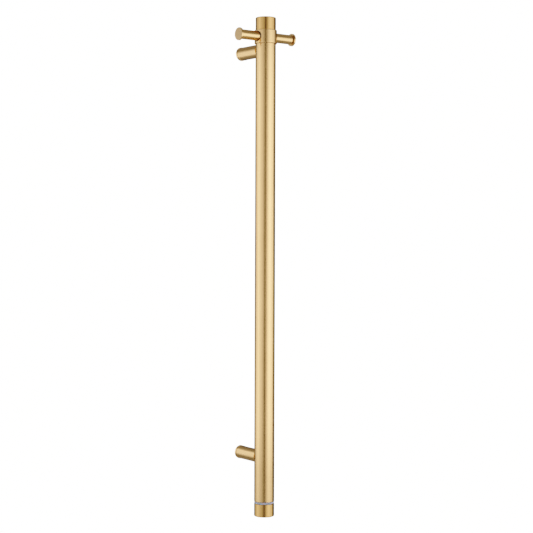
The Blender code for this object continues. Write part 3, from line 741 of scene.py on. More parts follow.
FINISHES = {
    finish.name: finish
    for finish in (
        Finish("brushed_gold", (0.905, 0.635, 0.358), (0.81, 0.567, 0.313), (0.19, 0.24),
               Grain.TURNED, metallic=1.0, bump=0.02, wear=0.3, bright=(0.93, 0.70, 0.42)),
        Finish("satin_gold", (0.87, 0.575, 0.282), (0.795, 0.523, 0.252), (0.105, 0.14),
               Grain.TURNED, metallic=1.0, bump=0.016, wear=0.15, bright=(0.88, 0.60, 0.27)),
        Finish("frosted_lens", (0.50, 0.53, 0.62), (0.45, 0.48, 0.58), (0.34, 0.46), Grain.MOULDED,
               bump=0.03, cloud_size=0.02, subsurface=0.3, coat=0.2),
        Finish("steel", (0.55, 0.55, 0.56), (0.44, 0.44, 0.46), (0.28, 0.42), Grain.DRAWN,
               metallic=1.0, bump=0.15, wear=0.4),
        Finish("blackened_steel", (0.045, 0.04, 0.036), (0.025, 0.022, 0.02), (0.38, 0.55),
               Grain.TURNED, metallic=0.9, bump=0.2, wear=0.5, bright=(0.25, 0.23, 0.20)),
        Finish("nylon", (0.80, 0.78, 0.70), (0.70, 0.68, 0.60), (0.40, 0.55), Grain.MOULDED,
               subsurface=0.2),
        Finish("moulded_plastic", (0.045, 0.045, 0.05), (0.03, 0.03, 0.034), (0.45, 0.6),
               Grain.MOULDED, bump=0.3),
        Finish("rubber", (0.025, 0.024, 0.023), (0.015, 0.015, 0.014), (0.6, 0.85), Grain.MOULDED,
               bump=0.4),
        Finish("circuit_board", (0.03, 0.20, 0.08), (0.015, 0.12, 0.05), (0.25, 0.45),
               Grain.MOULDED, cloud_size=0.004, coat=0.5),
        Finish("led_lens", (0.90, 0.86, 0.62), (0.82, 0.76, 0.45), (0.15, 0.3), Grain.MOULDED,
               cloud_size=0.002, coat=0.6),
        Finish("ceramic", (0.84, 0.81, 0.75), (0.72, 0.69, 0.63), (0.55, 0.75), Grain.MOULDED,
               bump=0.5, cloud_size=0.006),
        Finish("lead_insulation", (0.66, 0.62, 0.56), (0.55, 0.51, 0.46), (0.5, 0.65), Grain.DRAWN,
               bump=0.3, cloud_size=0.01),
    )
}


def finished(
    node: str, parts: list[Surface], place: Place, slot: str, body: str = "rail"
) -> bpy.types.Object:
    """Makes a finished piece that stands for a CAD node.

    Args:
        node: The CAD node that it replaces.
        parts: The surfaces of its skin, in own coordinates, which are joined.
        place: Where its own axes lie.
        slot: The name of the finish that it takes.
        body: The CAD body that it rides on.

    Returns:
        The piece.
    """
    name = f"{node}_finished"
    piece = bpy.data.objects.new(name, Surface.joined(parts).to_mesh(name, place))
    piece.data.materials.append(FINISHES[slot].material(Space.GRAIN))
    bpy.context.scene.collection.objects.link(piece)
    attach(piece, body)
    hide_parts(node)
    log.info("%s: %d faces, %s, rides on %s", name, len(piece.data.polygons), slot, body)
    return piece


# The upright: tube, top cap, light ring and control cap


@dataclass
class Upright:
    """The round bar from its top cap to its control cap, turned about one axis."""

    wall: float = 0.0015
    cap_bore: float = 0.0153
    cap_bore_depth: float = 0.0160
    cap_edge: float = 0.0012
    control_bore: float = 0.0150
    control_floor: float = 0.0025
    control_edge: float = 0.0010
    ring_edge: float = 0.0003
    button_hole: float = 0.0078

    def __post_init__(self) -> None:
        """Reads the axis and the spans from the CAD nodes' boxes."""
        low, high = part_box("main_tube")
        self.axis = ((low[0] + high[0]) / 2, (low[1] + high[1]) / 2)
        self.place = Place((*self.axis, 0.0))
        self.tube = Span.of("main_tube", 2)
        self.top = Span.of("top_cap", 2)
        self.ring = Span.of("light_ring", 2)
        self.control = Span.of("control_cap", 2)

    def build(self) -> None:
        """Builds the tube, the top cap, the light ring and the control cap."""
        radius, inner = self.tube.radius, self.tube.radius - self.wall
        tube = [
            (inner, self.tube.high, BREAK),
            (radius, self.tube.high, BREAK),
            (radius, self.tube.low, BREAK),
            (inner, self.tube.low, BREAK),
        ]
        finished("main_tube", [turned(tube, looped=True)], self.place, "brushed_gold")
        roof = self.top.low + self.cap_bore_depth
        cap = [
            (0.0, self.top.high, 0.0),
            (self.top.radius, self.top.high, self.cap_edge),
            (self.top.radius, self.top.low, BREAK),
            (self.cap_bore, self.top.low, BREAK),
            (self.cap_bore, roof, BREAK),
            (0.0, roof, 0.0),
        ]
        finished("top_cap", [turned(cap)], self.place, "satin_gold")
        ring = [
            (self.control_bore, self.ring.high, BREAK),
            (self.ring.radius, self.ring.high, self.ring_edge),
            (self.ring.radius, self.ring.low, self.ring_edge),
            (self.control_bore, self.ring.low, BREAK),
        ]
        finished("light_ring", [turned(ring, looped=True)], self.place, "frosted_lens")
        self.control_cap()

    def control_cap(self) -> None:
        """Builds the cap at the foot, whose floor has the hole for the button."""
        low, floor = self.control.low, self.control.low + self.control_floor
        cap = [
            (self.control_bore, self.control.high, BREAK),
            (self.control.radius, self.control.high, BREAK),
            (self.control.radius, low, self.control_edge),
            (self.button_hole, low, SOFT),
            (self.button_hole, floor, BREAK),
            (self.control_bore, floor, BREAK),
        ]
        finished("control_cap", [turned(cap, looped=True)], self.place, "satin_gold")


# The collar and its pegs


@dataclass
class Collar:
    """The sleeve that turns under the cap, with a peg seated in a flat on each side."""

    edge: float = 0.0008
    bore: float = 0.0153
    recess: float = 0.0188
    recess_depth: float = 0.0008
    seat: float = 0.0192  # from the axis to the flat that a peg sits on
    seat_radius: float = 0.0093
    stud_hole: float = 0.0033
    stud_depth: float = 0.0113
    peg_radius: float = 0.0088
    disc_thickness: float = 0.0034
    disc_edge: float = 0.0004
    disc_back_painted_shade: float = 0.45  # how much shade is painted on a disc's back
    disc_face_painted_shade: float = 0.36  # how much shade is painted on its face
    painted_shade_reach: float = 0.0019  # how far the painted shade spreads from where a peg meets the collar
    flat_steps: int = 6
    body: str = "collar"

    def __post_init__(self) -> None:
        """Reads the swivel's point from the record, and the spans from the boxes."""
        swivel = next(j for j in frame["joints"] if j["name"] == "collar_swivel")
        self.origin = tuple(swivel["pos_m"])
        self.span = Span.of("hook_collar", 2)
        self.peg = Span.of("peg_right", 0)

    def build(self) -> None:
        """Builds the collar and both pegs."""
        side = self.side()
        low, high = self.span.low - self.origin[2], self.span.high - self.origin[2]
        step = self.recess_depth
        top = [
            (self.bore, high - step, 0.0),
            (self.recess, high - step, 0.0),
            (self.recess, high, BREAK),
            (self.span.radius, high, self.edge),
            (self.span.radius, high - self.edge, 0.0),
        ]
        bottom = [
            (self.span.radius, low + self.edge, 0.0),
            (self.span.radius, low, self.edge),
            (self.recess, low, BREAK),
            (self.recess, low + step, 0.0),
            (self.bore, low + step, 0.0),
        ]
        parts = [side, half_turned(side), turned(top), turned(bottom)]
        finished("hook_collar", parts, Place(self.origin), "brushed_gold", self.body)
        self.build_pegs()

    def side(self) -> Surface:
        """Half of the collar's wall, with the flat seat and the stud's hole in its middle.

        The seat is the plane x = seat inside the circle of seat_radius about the peg's axis. Its
        rim is that circle, cut off where the plane leaves the cylinder, at the sideways distance
        sqrt(radius² - seat²). Shade is painted on the seat, where the peg shades it, and fades out
        over a short reach beyond its rim.

        Returns:
            The half's bore, the hole's wall, the flat and the outside, as one grid of rings.
        """
        low = self.span.low - self.origin[2] + self.edge
        high = self.span.high - self.origin[2] - self.edge
        half = HoledHalf(reach=self.span.radius, centre=0.0, rings=12)
        outline = half.outline(low, high)
        ray = half.rays(outline)
        y, z = np.cos(ray), np.sin(ray)
        hole = half.hole(self.bore, self.stud_hole, ray)
        inside = on_cylinder(self.bore, half.grown(hole, outline))[::-1]
        leave = math.sqrt(self.span.radius**2 - self.seat**2) - 2 * NUDGE
        share = np.linspace(0, 1, self.flat_steps + 1)[:, None]
        flat_reach = self.stud_hole + (self.seat_radius - BREAK - self.stud_hole) * share
        flat_y = np.clip(flat_reach * y, -leave, leave)
        flat = np.stack((np.full_like(flat_y, self.seat), flat_y, flat_reach * z), axis=-1)
        rim_y = np.clip(self.seat_radius * y, -leave, leave)
        rim_z = self.seat_radius * z
        foot = np.stack((np.full_like(rim_y, self.seat + NUDGE), rim_y, rim_z), axis=-1)[None]
        outer_angle = np.arcsin((rim_y + BREAK * y) / self.span.radius)
        outer_edge = np.stack((outer_angle, rim_z + BREAK * z), axis=1)
        lip_x = np.sqrt(self.span.radius**2 - rim_y**2) - BREAK
        lip_x = np.maximum(lip_x, self.seat + 2 * NUDGE)
        lip = np.stack((lip_x, rim_y, rim_z), axis=-1)[None]
        outside = on_cylinder(self.span.radius, half.grown(outer_edge, outline))
        points = np.concatenate((inside, flat, foot, lip, outside))
        # painted shade round the peg's seat: -1 on the seat, fading to 0 a short reach beyond its
        # rim
        edge = np.zeros(points.shape[:2])
        gap = np.hypot(points[..., 1], points[..., 2]) - self.seat_radius
        edge[len(inside):] = -np.clip(1 - gap[len(inside):] / self.painted_shade_reach, 0, 1)
        return Surface.grid(points, edge, closed=True)

    def build_pegs(self) -> None:
        """Builds the two pegs, each turned about the X axis, with a disc and the stud's hole.

        Shade is painted on a peg at its start, where it meets the collar, fading out over a short
        reach, and evenly on its disc's back and face.
        """
        reach = self.peg.high - self.origin[0]
        start = self.peg.low - self.origin[0]
        disc = reach - self.disc_thickness
        outline = [
            (0.0, reach, 0.0),
            (self.peg.radius, reach, self.disc_edge),
            (self.peg.radius, disc, self.disc_edge),
            (self.peg_radius, disc, ROOT),
            (self.peg_radius, start + self.painted_shade_reach, 0.0),
            (self.peg_radius, start, BREAK),
            (self.stud_hole, start, BREAK),
            (self.stud_hole, self.seat + self.stud_depth, 0.0),
            (0.0, self.seat + self.stud_depth, 0.0),
        ]
        for side, along in (("left", -1.0), ("right", 1.0)):
            place = Place(self.origin, (along, 0.0, 0.0), (0.0, 0.0, 1.0))
            skin = turned(outline, sides=MIDDLE_SIDES)
            height, radius = skin.points[:, 2], np.hypot(*skin.points.T[:2])
            # painted shade where the peg meets the collar, fading out along the peg
            near = np.clip(1 - (height - start) / self.painted_shade_reach, 0, 1)
            skin.edge = np.where(near > 0, -near, skin.edge)
            # painted shade, even on the disc's back and on its face
            behind = (height < disc + BREAK) & (radius > self.peg_radius + BREAK)
            skin.edge[behind] = -self.disc_back_painted_shade
            skin.edge[height > reach - BREAK] = -self.disc_face_painted_shade
            finished(f"peg_{side}", [skin], place, "brushed_gold", self.body)


# The posts, their wall bases and their grub screws


@dataclass
class Post:
    """A wall post with the cradle that the tube lies in, its base and its grub screw."""

    name: str
    grub_up: float  # 1 where the grub screw is on top, -1 where it is underneath
    base_hole: float
    base_side_holes: bool
    tube_axis: tuple[float, float]
    tube_radius: float
    collar: tuple[float, float] | None  # radius and lowest height of a collar that it clears
    wall: float = 0.0017
    end_wall: float = 0.0040
    edge: float = 0.0015
    clearance: float = 0.0003
    grub_hole: float = 0.0023
    base_edge: float = 0.0006
    spigot_wall: float = 0.0014
    side_hole: float = 0.0015
    grub_sides: int = 72  # a multiple of the socket's six flats
    grub_edge: float = 0.0002
    key_share: float = 0.55
    key_edge: float = 0.00008
    patch_reach: float = 0.9  # how far the screw's patch goes past it, in radii
    end_rings: int = 24

    def __post_init__(self) -> None:
        """Reads the spans and the axis from the boxes."""
        self.post = Span.of(f"post_{self.name}", 1)
        self.base = Span.of(f"wall_base_{self.name}", 1)
        low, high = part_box(f"wall_base_{self.name}")
        self.height = (low[2] + high[2]) / 2
        grub_low, grub_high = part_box(f"grub_screw_{self.name}")
        self.grub_radius = (grub_high[0] - grub_low[0]) / 2
        self.grub_y = (grub_low[1] + grub_high[1]) / 2
        ends = sorted(abs(h - self.height) for h in (grub_low[2], grub_high[2]))
        self.grub_inner, self.grub_outer = ends
        self.place = Place((0.0, 0.0, self.height), (0.0, 1.0, 0.0), (0.0, 0.0, self.grub_up))

    def build(self) -> None:
        """Builds the post, its base and its grub screw."""
        self.build_post()
        self.build_base()
        self.build_grub()

    def build_post(self) -> None:
        """Builds the post: bored, with the screw's hole, and with its end coped for the tube."""
        radius, bore = self.post.radius, self.post.radius - self.wall
        back, front = self.post.high, self.post.low
        bore_end = front + self.end_wall
        patch_low, patch_high = self.grub_y - radius * self.patch_reach, back - 2 * BREAK
        half = HoledHalf(reach=radius, centre=self.grub_y)
        outline = half.outline(patch_low, patch_high)
        ray = half.rays(outline)
        hole = self.grub_hole
        inside = on_cylinder(bore, half.grown(half.hole(bore, hole, ray), outline))[::-1]
        lip = on_cylinder(radius - BREAK, half.hole(radius - BREAK, hole, ray))[None]
        outside = on_cylinder(radius, half.grown(half.hole(radius, hole + BREAK, ray), outline))
        points = np.concatenate((inside, lip, outside))
        mark = np.zeros(points.shape[:2])
        mark[len(inside):len(inside) + 2] = 1.0
        pierced = Surface.grid(points, mark, closed=True)

        runs = np.linspace(patch_high, patch_low, half.along + 1)
        outer = turned([(radius, h, 0.0) for h in runs], start=QUARTER_TURN, sweep=HALF_TURN)
        inner = turned([(bore, h, 0.0) for h in runs[::-1]], start=QUARTER_TURN, sweep=HALF_TURN)
        back_rim = turned([
            (bore, patch_high, 0.0),
            (bore, back, BREAK),
            (radius, back, BREAK),
            (radius, patch_high, 0.0),
        ])
        rows = np.linspace(1, 0, self.end_rings + 1)[1:]
        end = turned([
            (radius, patch_low, 0.0),
            (radius, front, self.edge),
            *(((radius - self.edge) * t, front, 0.0) for t in rows),
        ])
        floor = turned([(0.0, bore_end, 0.0), (bore, bore_end, ROOT), (bore, patch_low, 0.0)])
        self.cope(end)
        parts = [pierced, outer, inner, back_rim, end, floor]
        finished(f"post_{self.name}", parts, self.place, "brushed_gold")

    def cope(self, end: Surface) -> None:
        """Sinks the end to the cylinder round the tube: run = axis + sqrt(radius² - sideways²).

        Args:
            end: The post's end, changed in place where that cylinder lies deeper.
        """
        sideways = end.points[:, 1]
        around = np.full(len(sideways), self.tube_radius + self.clearance)
        if self.collar:
            beside = end.points[:, 0] * self.grub_up + self.height
            reached = beside > self.collar[1] - self.clearance
            around = np.where(reached, self.collar[0] + self.clearance, around)
        deep = self.tube_axis[1] + np.sqrt(np.maximum(around**2 - sideways**2, 0.0))
        end.points[:, 2] = np.maximum(end.points[:, 2], deep)

    def build_base(self) -> None:
        """Builds the wall base: a flange, a spigot, and the cable's or a screw's hole."""
        radius, back, tip = self.base.radius, self.base.high, self.base.low
        front = back - self.base_thickness()
        spigot = self.post.radius - self.wall - self.clearance
        inner = spigot - self.spigot_wall
        shell = [
            (radius - 2 * BREAK, back, 0.0),
            (radius, back, BREAK),
            (radius, front, self.base_edge),
            (spigot, front, 0.0),
            (spigot, tip, SOFT),
            (inner, tip, BREAK),
            (inner, front, 0.0),
        ]
        place = Place((0.0, 0.0, self.height), (0.0, 1.0, 0.0), (1.0, 0.0, 0.0))
        hole = [(self.base_hole, front, 0.0), (self.base_hole, back, 0.0)]
        if self.base_side_holes:
            half = self.pierced_floor(radius - 2 * BREAK, inner, front, back)
            parts = [turned(shell), turned(hole), half, half_turned(half)]
        else:
            parts = [turned([*shell, *hole], looped=True)]
        finished(f"wall_base_{self.name}", parts, place, "brushed_gold")

    def base_thickness(self) -> float:
        """The flange's thickness, which ends a clearance short of the post."""
        return self.base.high - self.post.high - self.clearance

    def pierced_floor(self, outer: float, inner: float, front: float, back: float) -> Surface:
        """Half of the base's floor with one wall-screw hole, as rings from the back to the front.

        On the flat, a hole's edge point (x, y) has the angle atan2(y, x) and the run hypot(x, y).

        Args:
            outer: Where the back face ends.
            inner: Where the front face ends, at the spigot's inside.
            front: The front face's place.
            back: The back face's place.

        Returns:
            The half.
        """
        middle = (self.base_hole + inner) / 2
        half = HoledHalf(reach=middle, centre=middle, along=8, rings=8)
        back_outline = half.outline(self.base_hole, outer)
        front_outline = half.outline(self.base_hole, inner)
        ray = half.rays(front_outline)
        x = middle + self.side_hole * np.sin(ray)
        y = self.side_hole * np.cos(ray)
        edge = np.stack((np.arctan2(y, x), np.hypot(x, y)), axis=1)
        behind = on_end(back, half.grown(edge, back_outline))[::-1]
        ahead = on_end(front, half.grown(edge, front_outline))
        points = np.concatenate((behind, ahead))
        return Surface.grid(points, np.zeros(points.shape[:2]), closed=True)

    def build_grub(self) -> None:
        """Builds the grub screw, with a hexagon socket.

        The socket's radius is apothem / cos(angle from a flat's middle).
        """
        radius, top, low = self.grub_radius, self.grub_outer, self.grub_inner
        angle = FULL_TURN * np.arange(self.grub_sides) / self.grub_sides
        apothem = radius * self.key_share * math.cos(HALF_TURN / 6)
        sixth = HALF_TURN / 3
        hexagon = apothem / np.cos(np.mod(angle, sixth) - sixth / 2)
        floor = (low + top) / 2
        edge = self.grub_edge
        rows = [
            (np.zeros_like(angle), floor - edge, 0.0),
            (hexagon, floor, 0.0),
            (hexagon, top - edge, 0.0),
            (hexagon + self.key_edge, top, 1.0),
            (np.full_like(angle, radius - edge), top, 1.0),
            (np.full_like(angle, radius), top - edge, 1.0),
            (np.full_like(angle, radius), low + edge, 0.0),
            (np.full_like(angle, radius - edge), low, 0.0),
            (np.zeros_like(angle), low, 0.0),
        ]
        reach = np.stack([r for r, _, _ in rows])
        height = np.array([h for _, h, _ in rows])[:, None]
        coordinates = np.broadcast_arrays(reach * np.cos(angle), reach * np.sin(angle), height)
        points = np.stack(coordinates, axis=-1)
        mark = np.broadcast_to(np.array([m for _, _, m in rows])[:, None], points.shape[:2])
        skin = Surface.grid(points, mark, closed=True)
        place = Place((0.0, self.grub_y, self.height), (0.0, 0.0, self.grub_up), (1.0, 0.0, 0.0))
        finished(f"grub_screw_{self.name}", [skin], place, "blackened_steel")


# The push button, its spring and the cable's grommet


@dataclass
class Button:
    """The push button in the control cap's floor, and the spring behind it."""

    axis: tuple[float, float]
    face_radius: float = 0.0075
    flange_start: float = 0.0028
    flange_end: float = 0.0043
    stem: float = 0.0025
    dish: float = 0.0004
    rim: float = 0.0012
    wire: float = 0.00035
    wire_sides: int = 12
    turns: float = 2.5
    turn_steps: int = 48
    body: str = "button"

    def build(self) -> None:
        """Builds the button with its dished face, and the spring."""
        span = Span.of("push_button", 2)
        low = span.low
        outline = [
            (0.0, span.high, 0.0),
            (self.stem, span.high, ROOT),
            (self.stem, low + self.flange_end, 0.0),
            (span.radius, low + self.flange_end, BREAK),
            (span.radius, low + self.flange_start, BREAK),
            (self.face_radius, low + self.flange_start, 0.0),
            (self.face_radius, low, self.dish),
            (self.face_radius - self.rim - SOFT, low, ROOT),
            (0.0, low + self.dish, 0.0),
        ]
        place = Place((*self.axis, 0.0))
        skin = turned(outline, sides=MIDDLE_SIDES)
        finished("push_button", [skin], place, "satin_gold", self.body)
        self.build_spring(place)

    def build_spring(self, place: Place) -> None:
        """Builds the spring: a round wire along a helix.

        The wire's middle is P(t) = (r·cos a, r·sin a, h), with a and h growing evenly. Round it
        stand rings of points P + w·(cos b · outward + sin b · upward).

        Args:
            place: Where the spring's axis lies.
        """
        low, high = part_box("return_spring")
        span = Span.of("return_spring", 2)
        wire, sides = self.wire, self.wire_sides
        radius = span.radius - wire
        share = np.linspace(0, 1, round(self.turn_steps * self.turns) + 1)
        turn = FULL_TURN * self.turns * share
        rise = (high[2] - low[2] - 2 * wire) * share + low[2] + wire
        outward = np.stack((np.cos(turn), np.sin(turn), np.zeros_like(turn)), axis=1)
        ahead = np.stack((-np.sin(turn), np.cos(turn), np.zeros_like(turn)), axis=1)
        middle = radius * outward + np.stack((np.zeros_like(turn),) * 2 + (rise,), axis=1)
        b = (FULL_TURN * np.arange(sides) / sides)[None, :, None]
        upward = np.cross(outward, ahead)
        ring = np.cos(b) * outward[:, None] + np.sin(b) * upward[:, None]
        points = middle[:, None] + wire * ring
        ends = [np.repeat(middle[i][None, None], sides, axis=1) for i in (0, -1)]
        points = np.concatenate((ends[0], points, ends[1]))
        skin = Surface.grid(points, np.zeros(points.shape[:2]), closed=True)
        piece = finished("return_spring", [skin], place, "steel", self.body)
        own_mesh(piece)


@dataclass
class Grommet:
    """The rubber grommet in the lower base's cable hole."""

    bore: float = 0.0031
    neck: float = 0.0040
    lip: float = 0.0010

    def build(self) -> None:
        """Builds the grommet, turned about the lower post's axis."""
        span = Span.of("cable_grommet", 1)
        step = span.low + self.lip
        outline = [
            (self.bore, span.high, SOFT),
            (self.neck, span.high, ROOT),
            (self.neck, step, 0.0),
            (span.radius, step, SOFT),
            (span.radius, span.low, SOFT),
            (self.bore, span.low, SOFT),
        ]
        low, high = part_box("cable_grommet")
        place = Place((0.0, 0.0, (low[2] + high[2]) / 2), (0.0, 1.0, 0.0), (1.0, 0.0, 0.0))
        skin = turned(outline, looped=True, sides=SMALL_SIDES)
        finished("cable_grommet", [skin], place, "rubber")


# The studio


@dataclass(frozen=True)
class SoftBox:
    """A soft light that faces the rail. Its angles are in degrees, as seen from the rail."""

    name: str
    bearing: float  # from the camera's side, positive to the right
    spread: float  # its whole width
    rise: float  # half its height
    distance: float
    radiance: float
    lift: float = 0.0  # how far up it stands


@dataclass
class Studio:
    """The camera, a plain pale floor, plain surroundings and a ring of soft lights."""

    eye: tuple[float, float, float] = (-1.4357, -1.9768, 0.4355)
    azimuth: float = -37.109
    pitch: float = 1.666
    roll: float = 0.199
    lens: float = 84.25
    shift: float = 0.00286
    target: tuple[float, float, float] = (0.0, -0.079, 0.36)
    floor_drop: float = 0.25
    floor_reach: float = 9.0
    floor_sides: int = 48
    white: float = 1.0
    white_tint: RGB = (1.0, 1.0, 0.995)
    ambient: tuple[float, float] = (0.07, 0.21)  # level with the rail, and high above or below
    ambient_tint: RGB = (1.0, 0.97, 0.93)
    ambient_band: tuple[float, float] = (0.15, 0.60)  # how steep, as the direction's |Z|
    # The radiance of each soft light of the ring, from behind on the left to behind on the right
    ring: tuple[float, ...] = (
        0.02, 0.26, 0.64, 0.68, 0.87, 0.75, 0.61, 0.52, 0.34, 0.09,
        0.37, 0.73, 0.96, 0.98, 0.80, 0.78, 0.30, 0.07, 0.02,
    )
    ring_step: float = 16.0
    # A light of the ring fades up and down in layers: the rise, share and distance of each
    layers: tuple[tuple[float, float, float], ...] = (
        (21.0, 0.34, 1.8), (28.0, 0.32, 1.82), (35.0, 0.34, 1.84),
    )
    # The lights high above and deep below, by bearing, lift and rise
    fills: tuple[tuple[float, float, float], ...] = (
        (-80.0, 76.0, 8.0), (70.0, 76.0, 8.0), (-80.0, -68.0, 12.0), (70.0, -68.0, 12.0),
    )
    fill_radiance: float = 0.7
    fill_spread: float = 36.0
    fill_distance: float = 8.0
    # The film's response, from scene light to print: a soft toe and a long shoulder
    response: tuple[tuple[float, float], ...] = (
        (0.0, 0.0), (0.034, 0.010), (0.052, 0.024), (0.074, 0.05), (0.103, 0.10), (0.155, 0.20),
        (0.245, 0.347), (0.41, 0.571), (0.60, 0.76), (0.80, 0.895), (1.0, 1.0),
    )

    def build(self) -> None:
        """Sets up the camera, the floor, the surroundings and the lights."""
        self.camera()
        self.floor()
        self.surroundings()
        step = self.ring_step
        first = -step * (len(self.ring) - 1) / 2
        for i, radiance in enumerate(self.ring):
            for j, (rise, share, distance) in enumerate(self.layers):
                name = f"soft_light_{i + 1}_{j + 1}"
                self.light(SoftBox(name, first + step * i, step, rise, distance, radiance * share))
        spread, distance = self.fill_spread, self.fill_distance
        for i, (bearing, lift, rise) in enumerate(self.fills):
            name = f"fill_light_{i + 1}"
            self.light(SoftBox(name, bearing, spread, rise, distance, self.fill_radiance, lift))
        self.film()

    def film(self) -> None:
        """Sets the plain display transform, with the film's response as its combined tone curve."""
        settings = bpy.context.scene.view_settings
        settings.view_transform = "Standard"
        settings.use_curve_mapping = True
        curve = settings.curve_mapping.curves[3]
        curve.points[0].location = self.response[0]
        curve.points[1].location = self.response[-1]
        for point in self.response[1:-1]:
            curve.points.new(*point)
        for point in curve.points:
            point.handle_type = "AUTO_CLAMPED"
        settings.curve_mapping.update()

    def axes(self) -> tuple[np.ndarray, np.ndarray, np.ndarray]:
        """The camera's right, up and forward directions, from its azimuth, pitch and roll."""
        a, p, r = (math.radians(x) for x in (self.azimuth, self.pitch, self.roll))
        right = np.array((math.cos(a), math.sin(a), 0.0))
        level = np.array((-math.sin(a), math.cos(a), 0.0))
        upright = np.array((0.0, 0.0, 1.0))
        ahead = level * math.cos(p) - upright * math.sin(p)
        up = upright * math.cos(p) + level * math.sin(p)
        return right * math.cos(r) + up * math.sin(r), up * math.cos(r) - right * math.sin(r), ahead

    def camera(self) -> None:
        """Makes the scene's camera."""
        right, up, ahead = self.axes()
        data = bpy.data.cameras.new("camera")
        data.lens = self.lens
        data.shift_x = self.shift
        made = bpy.data.objects.new("camera", data)
        turn = Matrix(np.stack((right, up, -ahead), axis=1).tolist())
        made.matrix_world = Matrix.Translation(self.eye) @ turn.to_4x4()
        bpy.context.scene.collection.objects.link(made)
        bpy.context.scene.camera = made

    def floor(self) -> None:
        """Makes a wide pale floor below the rail, which shines evenly and is clear from below."""
        sides = self.floor_sides
        angle = FULL_TURN * np.arange(sides) / sides
        rim = np.full((sides, 3), CAD_BOX[0][2] - self.floor_drop)
        rim[:, 0] = self.floor_reach * np.cos(angle)
        rim[:, 1] = self.floor_reach * np.sin(angle)
        mesh = bpy.data.meshes.new("floor")
        mesh.from_pydata(rim.tolist(), [], [list(range(sides))])
        mesh.materials.append(self.pale())
        floor = bpy.data.objects.new("floor", mesh)
        floor.visible_glossy = False
        floor.visible_diffuse = False
        floor.visible_shadow = False
        bpy.context.scene.collection.objects.link(floor)

    def pale(self) -> bpy.types.Material:
        """The floor's even white, which lets the view through from its back."""
        made = bpy.data.materials.new("pale_floor")
        made.use_nodes = True
        nodes, links = made.node_tree.nodes, made.node_tree.links
        nodes.clear()
        glow = nodes.new("ShaderNodeEmission")
        glow.inputs["Color"].default_value = (*self.white_tint, 1)
        glow.inputs["Strength"].default_value = self.white
        clear = nodes.new("ShaderNodeBsdfTransparent")
        side = nodes.new("ShaderNodeNewGeometry")
        mix = nodes.new("ShaderNodeMixShader")
        sink = nodes.new("ShaderNodeOutputMaterial")
        links.new(side.outputs["Backfacing"], mix.inputs[0])
        links.new(glow.outputs[0], mix.inputs[1])
        links.new(clear.outputs[0], mix.inputs[2])
        links.new(mix.outputs[0], sink.inputs["Surface"])
        return made

    def surroundings(self) -> None:
        """Makes the surroundings: white where they are seen, and dim as a light."""
        world = bpy.data.worlds.new("surroundings")
        world.use_nodes = True
        nodes, links = world.node_tree.nodes, world.node_tree.links
        nodes.clear()
        dim = nodes.new("ShaderNodeBackground")
        dim.inputs["Color"].default_value = (*self.ambient_tint, 1)
        way = nodes.new("ShaderNodeSeparateXYZ")
        steep = nodes.new("ShaderNodeMath")
        steep.operation = "ABSOLUTE"
        level = nodes.new("ShaderNodeMapRange")
        level.interpolation_type = "SMOOTHSTEP"
        level.inputs["From Min"].default_value = self.ambient_band[0]
        level.inputs["From Max"].default_value = self.ambient_band[1]
        level.inputs["To Min"].default_value = self.ambient[0]
        level.inputs["To Max"].default_value = self.ambient[1]
        links.new(nodes.new("ShaderNodeTexCoord").outputs["Generated"], way.inputs[0])
        links.new(way.outputs["Z"], steep.inputs[0])
        links.new(steep.outputs[0], level.inputs["Value"])
        links.new(level.outputs["Result"], dim.inputs["Strength"])
        seen = nodes.new("ShaderNodeBackground")
        seen.inputs["Color"].default_value = (*self.white_tint, 1)
        seen.inputs["Strength"].default_value = self.white
        path = nodes.new("ShaderNodeLightPath")
        mix = nodes.new("ShaderNodeMixShader")
        sink = nodes.new("ShaderNodeOutputWorld")
        links.new(path.outputs["Is Camera Ray"], mix.inputs[0])
        links.new(dim.outputs[0], mix.inputs[1])
        links.new(seen.outputs[0], mix.inputs[2])
        links.new(mix.outputs[0], sink.inputs["Surface"])
        bpy.context.scene.world = world

    def light(self, box: SoftBox) -> None:
        """Makes one soft light, which faces the rail.

        Args:
            box: Its place, size and brightness.
        """
        toward = np.array(self.eye[:2]) - np.array(self.target[:2])
        bearing = math.atan2(toward[1], toward[0]) + math.radians(box.bearing)
        lift = math.radians(box.lift)
        level = math.cos(lift)
        outward = np.array((math.cos(bearing) * level, math.sin(bearing) * level, math.sin(lift)))
        side = np.array((-math.sin(bearing), math.cos(bearing), 0.0))
        data = bpy.data.lights.new(box.name, "AREA")
        data.shape = "RECTANGLE"
        data.size = 2 * box.distance * math.tan(math.radians(box.spread) / 2)
        data.size_y = 2 * box.distance * math.tan(math.radians(box.rise))
        data.energy = box.radiance * HALF_TURN * data.size * data.size_y
        made = bpy.data.objects.new(box.name, data)
        turn = Matrix(np.stack((side, np.cross(outward, side), outward), axis=1).tolist())
        spot = np.array(self.target) + outward * box.distance
        made.matrix_world = Matrix.Translation(spot.tolist()) @ turn.to_4x4()
        made.visible_camera = False
        bpy.context.scene.collection.objects.link(made)


INNER_NODES = {
    "steel": (
        "top_spindle", "peg_stud_", "post_bolt_", "post_nut_", "heating_element", "element_pin_",
    ),
    "nylon": ("glide_washer_", "switch_plunger"),
    "moulded_plastic": ("control_plug", "button_switch", "supply_socket"),
    "rubber": ("top_cap_seal", "tube_seal", "control_cap_seal"),
    "circuit_board": ("control_board",),
    "led_lens": ("led_",),
    "ceramic": ("element_spacer_", "thermal_cutout"),
    "lead_insulation": ("element_lead_", "supply_lead"),
}


def dress_inner_nodes() -> None:
    """Gives every carried-over CAD node its finish, by the start of its name."""
    for slot, starts in INNER_NODES.items():
        for name in sorted(n for n in frame["nodes"] if n.startswith(starts)):
            piece = frame["nodes"][name]
            piece.data.materials.clear()
            piece.data.materials.append(FINISHES[slot].material(Space.OBJECT))
            log.info("%s: carried over, %s", name, slot)


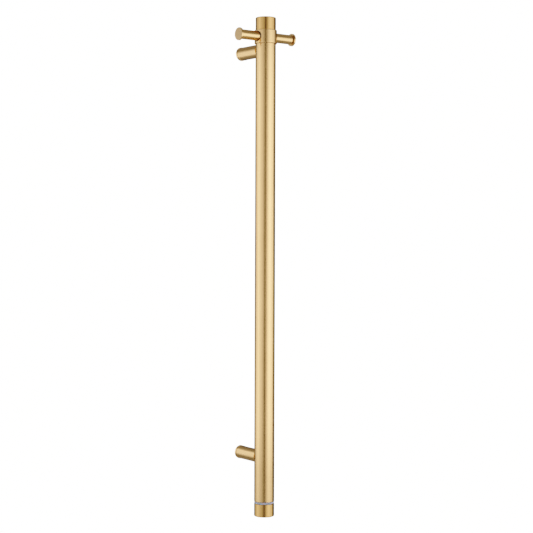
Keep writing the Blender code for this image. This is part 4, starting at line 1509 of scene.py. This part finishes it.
def main() -> None:
    """Builds the studio and the rail's sub-assemblies in order."""
    Studio().build()
    upright = Upright()
    upright.build()
    collar = Collar()
    collar.build()
    shared = {"tube_axis": upright.axis, "tube_radius": upright.tube.radius}
    over = (collar.span.radius, collar.span.low)
    Post("upper", -1.0, 0.0024, False, collar=over, **shared).build()
    Post("lower", 1.0, 0.0043, True, collar=None, **shared).build()
    Button(upright.axis).build()
    Grommet().build()
    dress_inner_nodes()


if __name__ == "__main__":
    logging.basicConfig(level=logging.INFO, format="%(message)s")
    main()
